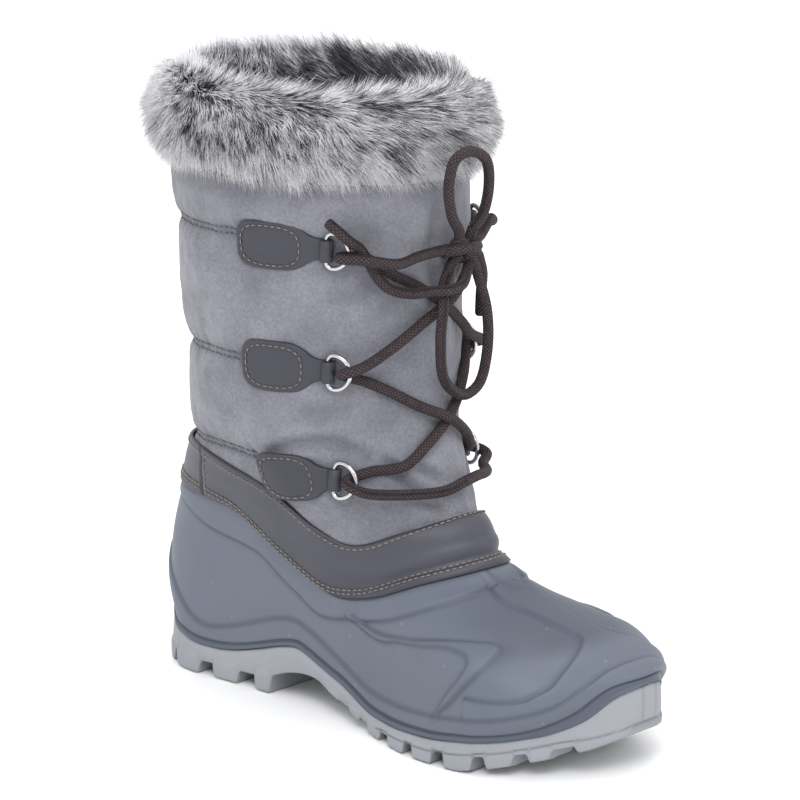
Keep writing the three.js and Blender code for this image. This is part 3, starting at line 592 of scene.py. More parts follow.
def shell_mesh():
    """Outside with its moulded lines, rolled over the top edge and down the plain inside."""
    turn, level = np.meshgrid(shell_turns, shell_levels)
    base = upper_point(turn, level)
    shift, dark = moulded(base.reshape(-1, 3))
    shift = shift.reshape(turn.shape)
    dark = dark.reshape(turn.shape)
    height = base[..., 2] - along(SOLE, "x", "joint", base[..., 0])
    cut = np.exp(-(((height - LIP_HEIGHT) / 0.7) ** 2))
    shift += 0.9 * (1 - ease(height, LIP_HEIGHT - 0.8, LIP_HEIGHT + 0.4)) - 0.7 * cut
    # Painted shade in the cut above the lip and on the lip along the sole joint.
    dark = np.maximum(dark, 0.85 * cut)
    dark = np.maximum(dark, 0.45 * (1 - ease(height, LIP_HEIGHT - 0.8, LIP_HEIGHT + 0.3)))
    degrees = np.degrees(np.abs((turn + np.pi) % (2 * np.pi) - np.pi))
    dimple = np.exp(-(((degrees - 136) / 9) ** 2) - ((level - 0.36) / 0.13) ** 2)
    shift -= 1.5 * dimple
    share = (1 + np.cos(turn)) / 2
    tuck = 2.2 * ease(share, 0.86, 0.97) * (1 - ease(level, 0.2, 0.42))
    full = 2.6 * ease(share, 0.74, 0.9) * ease(level, 0.34, 0.58) * (1 - ease(level, 0.62, 0.92))
    shift += full - tuck * ease(level, 0, 0.03)
    calm = 1 - ease(level, 0.97, 1.0)
    outer = base + upper_normal(turn, level) * (shift * calm)[..., None]
    outer[0, :, 2] += 0.3
    inner_levels = np.concatenate([[SHELL_TOP, 1.0], np.linspace(0.85, 0, 14)])
    turn_in, level_in = np.meshgrid(shell_turns, inner_levels)
    share = (1 + np.cos(turn_in)) / 2
    tuck = 2.2 * ease(share, 0.86, 0.97) * (1 - ease(level_in, 0.2, 0.42))
    inner = off_upper(turn_in, level_in, -RUBBER_WALL - tuck)
    # Painted dark reflection: the top of the vamp, where it faces up, is mixed towards a darker blue.
    vamp = (1 - ease(degrees, 10, 42)) * ease(level, 0.5, 0.62) * (1 - ease(level, 0.9, 0.99))
    points = np.concatenate([outer, inner])
    # The inside wall gets painted shade.
    shade = np.concatenate([dark, np.full(turn_in.shape, 0.3)])
    painted_reflection = np.concatenate([vamp, np.zeros_like(turn_in)])
    return points, shade, painted_reflection


shell_points, shell_shade, shell_painted_reflection = shell_mesh()
rows = shell_points.shape[0]
# The dark colour is painted shade for the grooves, the lip and the inside.
shell_look, shell_tree, shell_shader, shell_colour = plain_surface(
    "shell_rubber", "636975", "5b616d", 0.5, 9, 0.2, 420, 1100, 0.3, 0.12, 0.0002, dark="343a49")
# Painted dark reflection on the top of the vamp.
shell_colour = mixed(shell_tree, reckon(shell_tree, "MULTIPLY", attribute(shell_tree, "painted_reflection"), 0.85),
                     shell_colour, grey("474c5a"))
speck = node(shell_tree, "ShaderNodeTexVoronoi", {"Vector": object_spot(shell_tree), "Scale": 85.0})
dust = node(shell_tree, "ShaderNodeMapRange", {"Value": speck.outputs["Distance"], "From Min": 0.075,
                                               "From Max": 0.05, "To Max": 0.35})
shell_colour = mixed(shell_tree, dust.outputs[0], shell_colour, grey("8b8f98"))
shell_tree.links.new(shell_colour, shell_shader.inputs["Base Color"])
shell_shader.inputs["Specular IOR Level"].default_value = 0.35
faces = grid_faces(rows, SHELL_AROUND, around=True)
last = (rows - 1) * SHELL_AROUND
faces += [(last + k, last + (k + 1) % SHELL_AROUND, (k + 1) % SHELL_AROUND, k) for k in range(SHELL_AROUND)]
shell = mesh_piece("shell_fine", in_frame(shell_points.reshape(-1, 3)), faces, shell_look,
                   {"groove_shade": shell_shade.ravel(), "painted_reflection": shell_painted_reflection.ravel()})
weld(shell)
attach(shell, "root")
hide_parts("shell")

# ---------------------------------------------------------------------------------------------
# Insole: a felt footbed lying loose in the shell. Its own solid is already right.
felt_look = plain_surface("felt", "54545a", "44444a", 0.95, 60, 0.2, 900, 2200, 0.6, 0.6, 0.0006)[0]
insole = bpy.data.objects["insole"]
insole.data.materials.clear()
insole.data.materials.append(felt_look)

# ---------------------------------------------------------------------------------------------
# Shaft: brushed cloth quilted over padding, with three double-stitched channels running round the
# back from tab to tab, full between them, loosely folded over the instep and in front of the shin.
SHAFT_WALL = 5.0
SHAFT_START = SHELL_TOP + 0.016
QUILT_ROWS = table("turn top middle low", (0, 226, 167, 120), (80, 226, 167, 119), (103, 225.5, 167, 120.5),
                   (140, 222.5, 165, 118.5), (180, 221.5, 164, 117.5))
SHAFT_FOLDS = [
    {"depth": 3.2, "width": 3.0, "rows": ((-84, 122), (-74, 127.5), (-62, 132), (-52, 132.5), (-44, 129), (-37, 122.5))},
    {"depth": 2.7, "width": 2.8, "rows": ((-34, 128), (-30, 119), (-26, 110), (-19, 104.5), (-10, 103))},
    {"depth": 2.4, "width": 2.6, "rows": ((-20, 122), (-15, 119), (-8, 115))},
    {"depth": 2.6, "width": 3.8, "rows": ((-2, 250), (-4, 235), (-5, 218), (-3, 200), (1, 180), (3, 168))},
    {"depth": 1.8, "width": 4.8, "rows": ((-28, 214), (-38, 204), (-52, 198))},
    {"depth": 1.8, "width": 4.4, "rows": ((-40, 150), (-52, 146), (-66, 147))},
    {"depth": 1.5, "width": 4.0, "rows": ((84, 122), (70, 129), (56, 131), (42, 125))},
    {"depth": 1.6, "width": 4.0, "rows": ((30, 124), (24, 112), (14, 105))},
    {"depth": 1.0, "width": 6.0, "rows": ((150, 142), (172, 146), (196, 141))},
    {"depth": 1.0, "width": 6.0, "rows": ((140, 196), (165, 190), (188, 195))},
    {"depth": 0.9, "width": 5.0, "rows": ((-100, 196), (-118, 188), (-132, 190))},
    {"depth": 0.9, "width": 5.0, "rows": ((-96, 140), (-112, 146), (-128, 140))},
]


def shaft_level(turn, z):
    band = along(BAND_EDGE, "share", "z", (1 + np.cos(turn)) / 2)
    return 2 + (z - band) / (COLLAR_HEIGHT - band)


def on_shaft(turn, z, out):
    return off_upper(turn, shaft_level(turn, z), out)


def seeded_waves(turn, z, seed, count, low, high):
    """Sum of a few seeded waves over the cloth, about -1 to 1; low and high are waves per 100 mm."""
    pick = np.random.default_rng(seed)
    total = np.zeros_like(turn)
    for _ in range(count):
        angle = pick.uniform(0, np.pi)
        pace = pick.uniform(low, high) * 2 * np.pi / 100
        total += np.sin(pace * (np.cos(angle) * 64 * turn + np.sin(angle) * z) + pick.uniform(0, 6.3))
    return total / math.sqrt(count)


def shaft_relief(turn, level, base):
    """Outward shift and painted shade of the cloth in its seams, quilting pinches and folds."""
    z = base[..., 2]
    signed = (turn + np.pi) % (2 * np.pi) - np.pi
    degrees = np.degrees(np.abs(signed))
    behind = ease(degrees, 52, 62)
    lines = [along(QUILT_ROWS, "turn", key, degrees) for key in ("top", "middle", "low")]
    shift = 0.75 * seeded_waves(signed, z, 11, 9, 1.2, 3.2) + 0.22 * seeded_waves(signed, z, 12, 12, 5, 11)
    dark = np.zeros_like(shift)
    for key in lines:
        gap = z - key
        pinch = np.exp(-((gap / 4.2) ** 2)) * behind
        pucker = seeded_waves(signed, z * 0.15, 31, 8, 12, 26) * np.exp(-((gap / 7.0) ** 2)) * behind
        rows_cut = np.maximum(np.exp(-(((gap - 1.3) / 0.8) ** 2)), np.exp(-(((gap + 1.3) / 0.8) ** 2))) * behind
        shift += -2.3 * pinch + 0.35 * pucker - 0.45 * rows_cut
        # Painted shade in the stitch rows and the quilting pinches.
        dark = np.maximum(dark, 0.45 * rows_cut + 0.15 * pinch)
    top, middle, low = lines
    for upper_line, lower_line in ((252.0, top), (top, middle), (middle, low)):
        share = np.clip((z - lower_line) / (upper_line - lower_line), 0, 1)
        shift += 1.5 * np.sin(np.pi * share) ** 0.8 * ((z > lower_line) & (z <= upper_line)) * (0.35 + 0.65 * behind)
    for fold in SHAFT_FOLDS:
        knots = table("s turn z", *[(k, *row) for k, row in enumerate(fold["rows"])])
        s = np.linspace(0, len(fold["rows"]) - 1, 40)
        fold_turn = np.radians(along(knots, "s", "turn", s))
        spots = on_shaft(fold_turn, along(knots, "s", "z", s), 0.0)
        centre = spots.mean(0)
        reach = np.linalg.norm(spots - centre, axis=1).max() + 4 * fold["width"]
        close = np.linalg.norm(base - centre, axis=-1) < reach
        gaps = np.linalg.norm(base[close][:, None, :] - spots[None], axis=-1)
        nearest = gaps.argmin(1)
        end = np.sin(np.pi * (nearest + 0.5) / 40) ** 0.5
        distance = gaps.min(1)
        trough = np.exp(-((distance / fold["width"]) ** 2))
        ridge = np.exp(-(((distance - 1.9 * fold["width"]) / fold["width"]) ** 2))
        shift[close] += (-fold["depth"] * trough + 0.45 * fold["depth"] * ridge) * end
        # Painted shade in the fold's trough.
        dark[close] = np.maximum(dark[close], 0.22 * trough * end)
    calm = ease(level, 1.9, 2.06) * (1 - ease(level, 2.93, 2.99))
    return np.clip(shift, -4.2, 3.2) * calm, dark * calm


SHAFT_AROUND = 420
shaft_turns = np.linspace(0, 2 * np.pi, SHAFT_AROUND, endpoint=False)
shaft_levels = np.concatenate([np.linspace(SHAFT_START, 1.95, 8), np.linspace(2, 3, 118)])


def shaft_mesh():
    turn, level = np.meshgrid(shaft_turns, shaft_levels)
    base = upper_point(turn, level)
    shift, dark = shaft_relief(turn, level, base)
    outer = base + upper_normal(turn, level) * shift[..., None]
    outer[-1, :, 2] = COLLAR_HEIGHT
    inner_levels = np.concatenate([np.linspace(3, 2.02, 22), np.linspace(1.9, SHAFT_START, 6)])
    turn_in, level_in = np.meshgrid(shaft_turns, inner_levels)
    inner = off_upper(turn_in, level_in, -SHAFT_WALL * np.ones_like(turn_in))
    inner[0, :, 2] = COLLAR_HEIGHT
    return np.concatenate([outer, inner]), np.concatenate([dark, np.zeros_like(turn_in)]), len(shaft_levels)


def cloth_look():
    """Brushed cloth: two-tone nap in soft blotches over a fine weave."""
    made, tree, shader = material("brushed_cloth", 0.88)
    spot = object_spot(tree)
    nap = placed(tree, PATCHES, {"Vector": spot, "Scale": 34, "Spread": 0.14, "First": grey("7f7f88"),
                                 "Second": grey("6c6d75")})["Color"]
    fleck = placed(tree, PATCHES, {"Vector": spot, "Scale": 700, "Spread": 0.2, "First": (0.8, 0.8, 0.81, 1),
                                   "Second": (1.16, 1.16, 1.17, 1)})["Color"]
    colour = mixed(tree, 1.0, nap, fleck, "MULTIPLY")
    # Painted shade in seams and folds.
    colour = mixed(tree, attribute(tree, "groove_shade"), colour, grey("3c3c44"))
    tree.links.new(colour, shader.inputs["Base Color"])
    shader.inputs["Sheen Weight"].default_value = 0.25
    shader.inputs["Sheen Roughness"].default_value = 0.5
    shader.inputs["Specular IOR Level"].default_value = 0.25
    grain = placed(tree, GRAIN, {"Vector": spot, "Coarse": 260, "Fine": 1700, "Fine Share": 0.6})
    bump(tree, shader, grain["Height"], 0.5, 0.0006)
    return made


shaft_points, shaft_shade, outer_rows = shaft_mesh()
rows = shaft_points.shape[0]
faces = grid_faces(rows, SHAFT_AROUND, around=True)
last = (rows - 1) * SHAFT_AROUND
faces += [(last + k, last + (k + 1) % SHAFT_AROUND, (k + 1) % SHAFT_AROUND, k) for k in range(SHAFT_AROUND)]
shaft = mesh_piece("shaft_cloth", in_frame(shaft_points.reshape(-1, 3)), faces, cloth_look(),
                   {"groove_shade": shaft_shade.ravel()})
fleece_look = plain_surface("fleece", "5b5a60", "3f3e44", 0.98, 160, 0.2, 500, 1500, 0.8, 0.9, 0.0012)[0]
shaft.data.materials.append(fleece_look)
lined = np.zeros(len(shaft.data.polygons), "i")
lined[outer_rows * SHAFT_AROUND:] = 1
shaft.data.polygons.foreach_set("material_index", lined)
weld(shaft)
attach(shaft, "root")
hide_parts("shaft")

# ---------------------------------------------------------------------------------------------
# Stitches: every seam is waxed thread in short raised stitches. One tree sets a stitch at each
# point of a row, turned along the row and away from the surface.
def stitch_tree():
    tree = bpy.data.node_groups.new("stitch_row", "GeometryNodeTree")
    for label, kind, value in (("Geometry", "Geometry", None), ("Stitch", "Object", None),
                               ("Length", "Float", 0.0022), ("Thickness", "Float", 0.0008),
                               ("Thread", "Material", None)):
        socket = tree.interface.new_socket(label, in_out="INPUT", socket_type="NodeSocket" + kind)
        if value is not None:
            socket.default_value = value
    tree.interface.new_socket("Geometry", in_out="OUTPUT", socket_type="NodeSocketGeometry")
    given = tree.nodes.new("NodeGroupInput").outputs
    run = node(tree, "GeometryNodeInputNamedAttribute", {"Name": "run"}, data_type="FLOAT_VECTOR")
    out = node(tree, "GeometryNodeInputNamedAttribute", {"Name": "out"}, data_type="FLOAT_VECTOR")
    axes = node(tree, "FunctionNodeAxesToRotation",
                {"Primary Axis": out.outputs["Attribute"], "Secondary Axis": run.outputs["Attribute"]},
                primary_axis="Z", secondary_axis="X")
    size = node(tree, "ShaderNodeCombineXYZ", {0: given["Length"], 1: given["Thickness"], 2: given["Thickness"]})
    shape = node(tree, "GeometryNodeObjectInfo", {"Object": given["Stitch"]})
    spread = node(tree, "GeometryNodeInstanceOnPoints",
                  {"Points": given["Geometry"], "Instance": shape.outputs["Geometry"],
                   "Rotation": axes.outputs[0], "Scale": size.outputs[0]})
    real = node(tree, "GeometryNodeRealizeInstances", {"Geometry": spread.outputs[0]})
    painted = node(tree, "GeometryNodeSetMaterial", {"Geometry": real.outputs[0], "Material": given["Thread"]})
    result = tree.nodes.new("NodeGroupOutput")
    tree.links.new(painted.outputs[0], result.inputs[0])
    return tree


STITCH_TREE = stitch_tree()


def stitch_shape():
    """A single stitch one unit long: a bulged thread dipping at both ends."""
    rings = []
    for s in np.linspace(-0.5, 0.5, 7):
        size = 0.5 * math.sqrt(max(0.02, 1 - (2 * s) ** 4))
        lift = 0.35 - 1.6 * s * s
        rings += [(s, size * math.cos(a), lift + size * math.sin(a)) for a in np.linspace(0, 2 * np.pi, 6)[:-1]]
    ends = [tuple(range(5))[::-1], tuple(range(30, 35))]
    return mesh_piece("stitch_shape", rings, grid_faces(7, 5, around=True) + ends, floor_look)


def fill_tree(made, tree, values):
    """Puts a node tree on a piece with named inputs, and settles the result as its plain mesh."""
    modifier = made.modifiers.new("made", "NODES")
    modifier.node_group = tree
    for item in tree.interface.items_tree:
        if item.item_type == "SOCKET" and item.in_out == "INPUT" and item.name in values:
            modifier[item.identifier] = values[item.name]
    mesh = bpy.data.meshes.new_from_object(made.evaluated_get(bpy.context.evaluated_depsgraph_get()))
    made.modifiers.clear()
    made.data = mesh
    mesh.polygons.foreach_set("use_smooth", np.ones(len(mesh.polygons), bool))


def even_points(points, pitch):
    """Indices of points about one pitch apart along a fine row."""
    length = np.concatenate([[0], np.cumsum(np.linalg.norm(np.diff(points, axis=0), axis=1))])
    count = max(2, int(round(length[-1] / pitch)))
    return np.searchsorted(length, np.linspace(0, length[-1], count) + 1e-9).clip(0, len(points) - 1)


def stitch_rows(name, rows, thread, pitch=2.9, length=2.3, thick=0.75):
    """Stitches along rows of (points, normals) in millimetres."""
    spots, runs, outs = [], [], []
    for points, normals in rows:
        keep = even_points(points, pitch)
        run = np.gradient(points, axis=0)
        spots.append(points[keep])
        runs.append(run[keep] / np.linalg.norm(run[keep], axis=1, keepdims=True))
        outs.append(normals[keep])
    mesh = bpy.data.meshes.new(name)
    mesh.from_pydata(in_frame(np.concatenate(spots)).tolist(), [], [])
    for key, data in (("run", runs), ("out", outs)):
        layer = mesh.attributes.new(key, "FLOAT_VECTOR", "POINT")
        layer.data.foreach_set("vector", np.concatenate(data).astype("f").ravel())
    made = bpy.data.objects.new(name, mesh)
    scene.collection.objects.link(made)
    shape = stitch_shape()
    fill_tree(made, STITCH_TREE, {"Stitch": shape, "Length": length / 1000, "Thickness": thick / 1000,
                                  "Thread": thread})
    bpy.data.objects.remove(shape)
    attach(made, "root")
    return made


pale_thread = plain_surface("pale_thread", "8a847c", "6b6661", 0.8, 400, 0.2, 1500, 3000, 0.5, 0.3, 0.0002)[0]
dark_thread = plain_surface("dark_thread", "54545c", "44444c", 0.85, 400, 0.2, 1500, 3000, 0.5, 0.3, 0.0002)[0]


def relief_row(turn, z, out):
    """A row on the quilted cloth, following its relief."""
    level = shaft_level(turn, z)
    base = upper_point(turn, level)
    shift = shaft_relief(turn, level, base)[0]
    normal = upper_normal(turn, level)
    return base + normal * (shift + out)[..., None], normal


quilt_stitches = []
for side in (-1, 1):
    for key in ("top", "middle", "low"):
        stretch = np.radians(np.linspace(78 if key != "low" else 86, 180, 400)) * side
        for gap in (-1.3, 1.3):
            z = along(QUILT_ROWS, "turn", key, np.degrees(np.abs(stretch))) + gap
            quilt_stitches.append(relief_row(stretch, z, 0.15))
stitch_rows("quilt_stitches", quilt_stitches, dark_thread, pitch=3.0, length=2.2, thick=0.5)

# ---------------------------------------------------------------------------------------------
# Band: smooth dark leather round the joint of shell and cloth, in a front and a back length that
# meet with a small gap at the sides, stitched along its top and twice along its foot.
LEATHER = 1.7
BAND_GAP = 0.7
BAND_SEAM = (14 / 40) * 2 * np.pi
SEAM_GAP = 0.005


def leather_look(name, first, second):
    """Smooth finished leather: fine pebbled grain, slightly worn, with painted shade from the piece's shade attribute.
    """
    return plain_surface(name, first, second, 0.5, 35, 0.22, 350, 1500, 0.55, 0.22, 0.0003, dark="2b2a31")[0]


band_look = leather_look("band_leather", "40404c", "393944")


def row_dark(height_mm, rows):
    """Profile of the needle lines at given heights, for their dip and their painted shade."""
    total = np.zeros_like(height_mm)
    for row in rows:
        total = np.maximum(total, np.exp(-(((height_mm - row) / 0.6) ** 2)))
    return total


def band_heights(turn, level):
    """Millimetres above the band's foot and below its top, along the slope."""
    fine = np.linspace(1, 2, 41)
    at = upper_point(np.asarray(turn)[..., None], fine)
    length = np.concatenate([np.zeros(at.shape[:-2] + (1,)),
                             np.cumsum(np.linalg.norm(np.diff(at, axis=-2), axis=-1), -1)], -1)
    foot = np.array([np.interp(v, fine, row) for v, row in zip(np.ravel(level), length.reshape(-1, 41))])
    foot = foot.reshape(np.shape(level))
    return foot, length[..., -1] - foot


FOOT_ROWS = (3.4, 6.0)
TOP_ROW = 3.2


def band_length(name, start, end, node_name):
    turns = np.linspace(start, end, int(abs(end - start) / (2 * np.pi) * 380))
    levels = np.linspace(1, 2, 30)
    turn, level = np.meshgrid(turns, levels, indexing="ij")
    foot, top = band_heights(turn, level)
    edge = np.minimum(foot, top)
    side = np.minimum(turn - start, end - turn) * 60
    rounding = np.sqrt(np.clip(1 - (1 - np.clip(edge / 1.1, 0, 1)) ** 2, 0, 1))
    rounding = np.minimum(rounding, np.sqrt(np.clip(1 - (1 - np.clip(side / 1.0, 0, 1)) ** 2, 0, 1)))
    needle = np.maximum(row_dark(foot, FOOT_ROWS), row_dark(top, (TOP_ROW,)))
    swell = 0.25 * np.exp(-(((foot - 4.7) / 1.0) ** 2)) - 0.35 * needle
    wave = 0.08 * seeded_waves(turn, foot, 5, 6, 1.5, 3.5)
    outer = off_upper(turn, level, BAND_GAP + LEATHER * (0.35 + 0.65 * rounding) + (swell + wave) * rounding)
    inner = off_upper(turn, level, np.full_like(turn, BAND_GAP - 0.1))
    loop = np.concatenate([outer, inner[:, ::-1]], 1)
    # Painted shade in the needle lines, on the rounded edges and on the underside.
    shade = np.concatenate([np.maximum(0.6 * needle, 0.75 * (1 - rounding)), np.full_like(turn, 0.8)], 1)
    rows, columns = loop.shape[:2]
    faces = grid_faces(rows, columns, around=True)
    half = columns // 2
    for base in (0, (rows - 1) * columns):
        faces += [(base + k, base + k + 1, base + columns - 2 - k, base + columns - 1 - k) for k in range(half - 1)]
    made = mesh_piece(name, in_frame(loop.reshape(-1, 3)), faces, band_look, {"groove_shade": shade.ravel()})
    weld(made)
    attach(made, "root")
    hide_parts(node_name)


band_length("band_front_leather", -BAND_SEAM, BAND_SEAM, "band_front")
band_length("band_back_leather", BAND_SEAM + SEAM_GAP, 2 * np.pi - BAND_SEAM - SEAM_GAP, "band_back")


def band_row(start, end, above_foot=None, below_top=None):
    """A stitch row at a height above the band's foot or below its top."""
    turns = np.linspace(start, end, 900)
    fine = np.linspace(1, 2, 61)
    at = upper_point(turns[:, None], fine)
    length = np.concatenate([np.zeros((len(turns), 1)), np.cumsum(np.linalg.norm(np.diff(at, axis=1), axis=-1), 1)], 1)
    want = length[:, -1] - below_top if below_top else np.full(len(turns), above_foot)
    level = np.array([np.interp(w, row, fine) for w, row in zip(want, length)])
    return off_upper(turns, level, np.full(len(turns), BAND_GAP + LEATHER + 0.1)), upper_normal(turns, level)


band_stitches = []
inset = 0.035
for start, end in ((-BAND_SEAM + inset, BAND_SEAM - inset), (BAND_SEAM + inset, 2 * np.pi - BAND_SEAM - inset)):
    band_stitches.append(band_row(start, end, below_top=TOP_ROW))
    band_stitches += [band_row(start, end, above_foot=height) for height in FOOT_ROWS]
for side in (-1, 1):
    level = np.linspace(1.12, 1.9, 200)
    turn = np.full_like(level, side * (BAND_SEAM - inset))
    band_stitches.append((off_upper(turn, level, np.full_like(level, BAND_GAP + LEATHER + 0.1)), upper_normal(turn, level)))
stitch_rows("band_stitches", band_stitches, pale_thread, pitch=3.0, length=2.2, thick=0.72)

# ---------------------------------------------------------------------------------------------
# Tabs: six leather pads sewn to the cloth, oval at the back with a neck folded round the bar of a
# wire ring. The rings are bright plated wire, D-shaped.
TABS = [
    {"name": "top", "z": 223.0, "bar": 0.885, "pace": 69.5, "lift": 0.0, "long": 0.95, "wide": 0.8},
    {"name": "middle", "z": 166.5, "bar": 0.89, "pace": 66.8, "lift": 0.0, "long": 0.93, "wide": 0.92},
    {"name": "low", "z": 115.7, "bar": 0.93, "pace": 60.0, "lift": 3.2, "long": 0.76, "wide": 0.72},
]
GAP = 0.3
EYE_OUTER = 3.1
RING_WIRE = 1.1
RING_RADIUS = 8.0
RING_REACH = 11.0
RING_TILT = 0.36
PAD_OUTLINE = table(
    "back half", (1.8, 5), (5, 5.3), (8, 6.6), (11, 9.2), (15, 11.4), (22, 12.5), (30, 12.7), (37, 12.3),
    (40.5, 11.2), (42.6, 9.2), (43.8, 6.4), (44.3, 3.6), (44.5, 0.6),
)
TAB_NECK = 5.0
SEAM_MIDDLE = 27.2
SEAM_LENGTH = 14.4
SEAM_HALF = 10.1
SEAM_POWER = 3.0
tab_look = leather_look("tab_leather", "343440", "2e2e38")
ring_look = plain_surface("ring_wire", "d0d0d4", "b4b4b8", 0.2, 90, 0.25, 300, 900, 0.4, 0.03, 0.0001, metal=1.0)[0]


def tab_frame(side, tab):
    turn = side * tab["bar"]
    level = shaft_level(turn, tab["z"])
    out = upper_normal(turn, level)
    ahead = on_shaft(turn - side * 0.02, tab["z"], 0.0) - upper_point(turn, level)
    ahead = ahead - out * ahead.dot(out)
    ahead /= np.linalg.norm(ahead)
    up = np.cross(out, ahead)
    return {"origin": off_upper(turn, level, GAP + EYE_OUTER), "out": out, "ahead": ahead, "up": up * np.sign(up[2])}


def from_bar(place, ahead, up, out):
    return place["origin"] + np.multiply.outer(ahead, place["ahead"]) + np.multiply.outer(up, place["up"]) \
        + np.multiply.outer(out, place["out"])


def tab_place(side, tab, back, up):
    """Turn, height and gap under the leather at a place of the unscaled pad."""
    back = back * tab["long"]
    under = GAP + tab["lift"] * np.clip((back - 6) / 14, 0, 1)
    return side * (tab["bar"] + back / tab["pace"]), tab["z"] + up * tab["wide"], under


def tab_mesh(side, tab):
    """Leather pad with a rounded edge and a stitch furrow, ending in the fold round the bar."""
    spread = 1 - np.cos(np.linspace(0, np.pi / 2, 16))
    back = np.concatenate([44.4 - 8 * spread, np.linspace(36, 1.8, 36)[1:]])
    across = np.sin(np.linspace(-np.pi / 2, np.pi / 2, 31))
    back_grid, w = np.meshgrid(back, across, indexing="ij")
    half = along(PAD_OUTLINE, "back", "half", back_grid)
    up = w * half
    turn, z, under = tab_place(side, tab, back_grid, w * (TAB_NECK / tab["wide"] + half - TAB_NECK))
    oval = ((np.abs(back_grid - SEAM_MIDDLE) / SEAM_LENGTH) ** SEAM_POWER
            + (np.abs(up) / SEAM_HALF) ** SEAM_POWER) ** (1 / SEAM_POWER)
    furrow = np.exp(-((((1 - oval) * 11) / 0.7) ** 2))
    crown = 0.35 * np.clip(1.1 - oval, 0, 1) ** 0.5
    edge = np.minimum((1 - np.abs(w)) * half, 44.5 - back_grid)
    rounding = np.sqrt(np.clip(1 - (1 - np.clip(edge / 0.8, 0, 1)) ** 2, 0, 1))
    top = on_shaft(turn, z, under + 0.6 + 1.5 * rounding + (crown - 0.3 * furrow) * rounding)
    low = on_shaft(turn, z, under)
    loop = np.concatenate([top, low[:, ::-1]], 1)
    # Painted shade in the stitch furrow, on the rounded edges and on the underside.
    shade = np.concatenate([np.maximum(0.55 * furrow * (back_grid > 9), 0.7 * (1 - rounding)), np.full_like(w, 0.8)], 1)
    rows, columns = loop.shape[:2]
    faces = grid_faces(rows, columns, around=True)
    for base in (0, (rows - 1) * columns):
        faces += [(base + k, base + k + 1, base + columns - 2 - k, base + columns - 1 - k) for k in range(columns // 2 - 1)]
    points = loop.reshape(-1, 3)
    place = tab_frame(side, tab)
    fold = []
    angles = np.linspace(0, 2 * np.pi, 24, endpoint=False)
    profile = [(2.0, -5.0), (2.9, -5.0), (3.25, -4.6), (3.3, 0.0), (3.25, 4.6), (2.9, 5.0), (2.0, 5.0), (1.6, 4.6), (1.6, -4.6)]
    for radius, up_at in profile:
        fold.append(from_bar(place, radius * np.cos(angles), np.full(24, up_at), radius * np.sin(angles)))
    first = len(points)
    faces += grid_faces(len(profile), 24, around=True, first=first)
    last = first + (len(profile) - 1) * 24
    faces += [(last + k, last + (k + 1) % 24, first + (k + 1) % 24, first + k) for k in range(24)]
    points = np.concatenate([points, np.concatenate(fold)])
    # Painted shade on the fold round the bar, darker towards its edges and on its inner face.
    shade = np.concatenate([shade.ravel(), np.repeat([0.7, 0.3, 0, 0, 0, 0.3, 0.7, 0.9, 0.9], 24)])
    return points, faces, shade


def ring_line(count):
    """Evenly spaced points of the ring's centre line: bar, cheeks and half circle."""
    bend = np.linspace(np.pi / 2, -np.pi / 2, 40)
    corner = np.linspace(0, np.pi / 2, 12)
    straight = RING_REACH - RING_RADIUS
    top = np.stack([3 - 3 * np.cos(corner), RING_RADIUS - 3 + 3 * np.sin(corner)], 1)
    arc = np.stack([straight + RING_RADIUS * np.cos(bend), RING_RADIUS * np.sin(bend)], 1)
    line = np.concatenate([top, arc, top[::-1] * (1, -1)])
    line = np.concatenate([line, line[:1]])
    length = np.concatenate([[0], np.cumsum(np.linalg.norm(np.diff(line, axis=0), axis=1))])
    at = np.linspace(0, length[-1], count, endpoint=False)
    return np.stack([np.interp(at, length, line[:, k]) for k in (0, 1)], 1)


def ring_mesh(side, tab):
    place = tab_frame(side, tab)
    line = ring_line(72)
    run = np.roll(line, -1, 0) - np.roll(line, 1, 0)
    run /= np.linalg.norm(run, axis=1, keepdims=True)
    rings = []
    for a in np.linspace(0, 2 * np.pi, 12, endpoint=False):
        wide = RING_WIRE * math.cos(a)
        lift = RING_WIRE * math.sin(a)
        x = line[:, 0] + run[:, 1] * wide
        y = line[:, 1] - run[:, 0] * wide
        rings.append(from_bar(place, x * math.cos(RING_TILT) - lift * math.sin(RING_TILT), y,
                              x * math.sin(RING_TILT) + lift * math.cos(RING_TILT)))
    points = np.stack(rings, 1)
    rows, columns = points.shape[:2]
    faces = grid_faces(rows, columns, around=True)
    last = (rows - 1) * columns
    faces += [(last + k, last + (k + 1) % columns, (k + 1) % columns, k) for k in range(columns)]
    return points.reshape(-1, 3), faces


tab_stitches = []
for side, word in ((-1, "outer"), (1, "inner")):
    for tab in TABS:
        points, faces, shade = tab_mesh(side, tab)
        pad = mesh_piece(f"tab_{word}_{tab['name']}_leather", in_frame(points), faces, tab_look, {"groove_shade": shade})
        weld(pad)
        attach(pad, "root")
        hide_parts(f"tab_{word}_{tab['name']}")
        points, faces = ring_mesh(side, tab)
        wire = mesh_piece(f"ring_{word}_{tab['name']}_wire", in_frame(points), faces, ring_look)
        weld(wire)
        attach(wire, "root")
        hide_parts(f"ring_{word}_{tab['name']}")
        a = np.linspace(0, 2 * np.pi, 700)
        back = SEAM_MIDDLE + SEAM_LENGTH * np.sign(np.cos(a)) * np.abs(np.cos(a)) ** (2 / SEAM_POWER)
        up = SEAM_HALF * np.sign(np.sin(a)) * np.abs(np.sin(a)) ** (2 / SEAM_POWER)
        up = up * (SEAM_HALF - TAB_NECK + TAB_NECK / tab["wide"]) / SEAM_HALF
        turn, z, under = tab_place(side, tab, back, up)
        level = shaft_level(turn, z)
        tab_stitches.append((off_upper(turn, level, under + 2.2), upper_normal(turn, level)))
stitch_rows("tab_stitches", tab_stitches, pale_thread, pitch=3.1, length=2.2, thick=0.6)

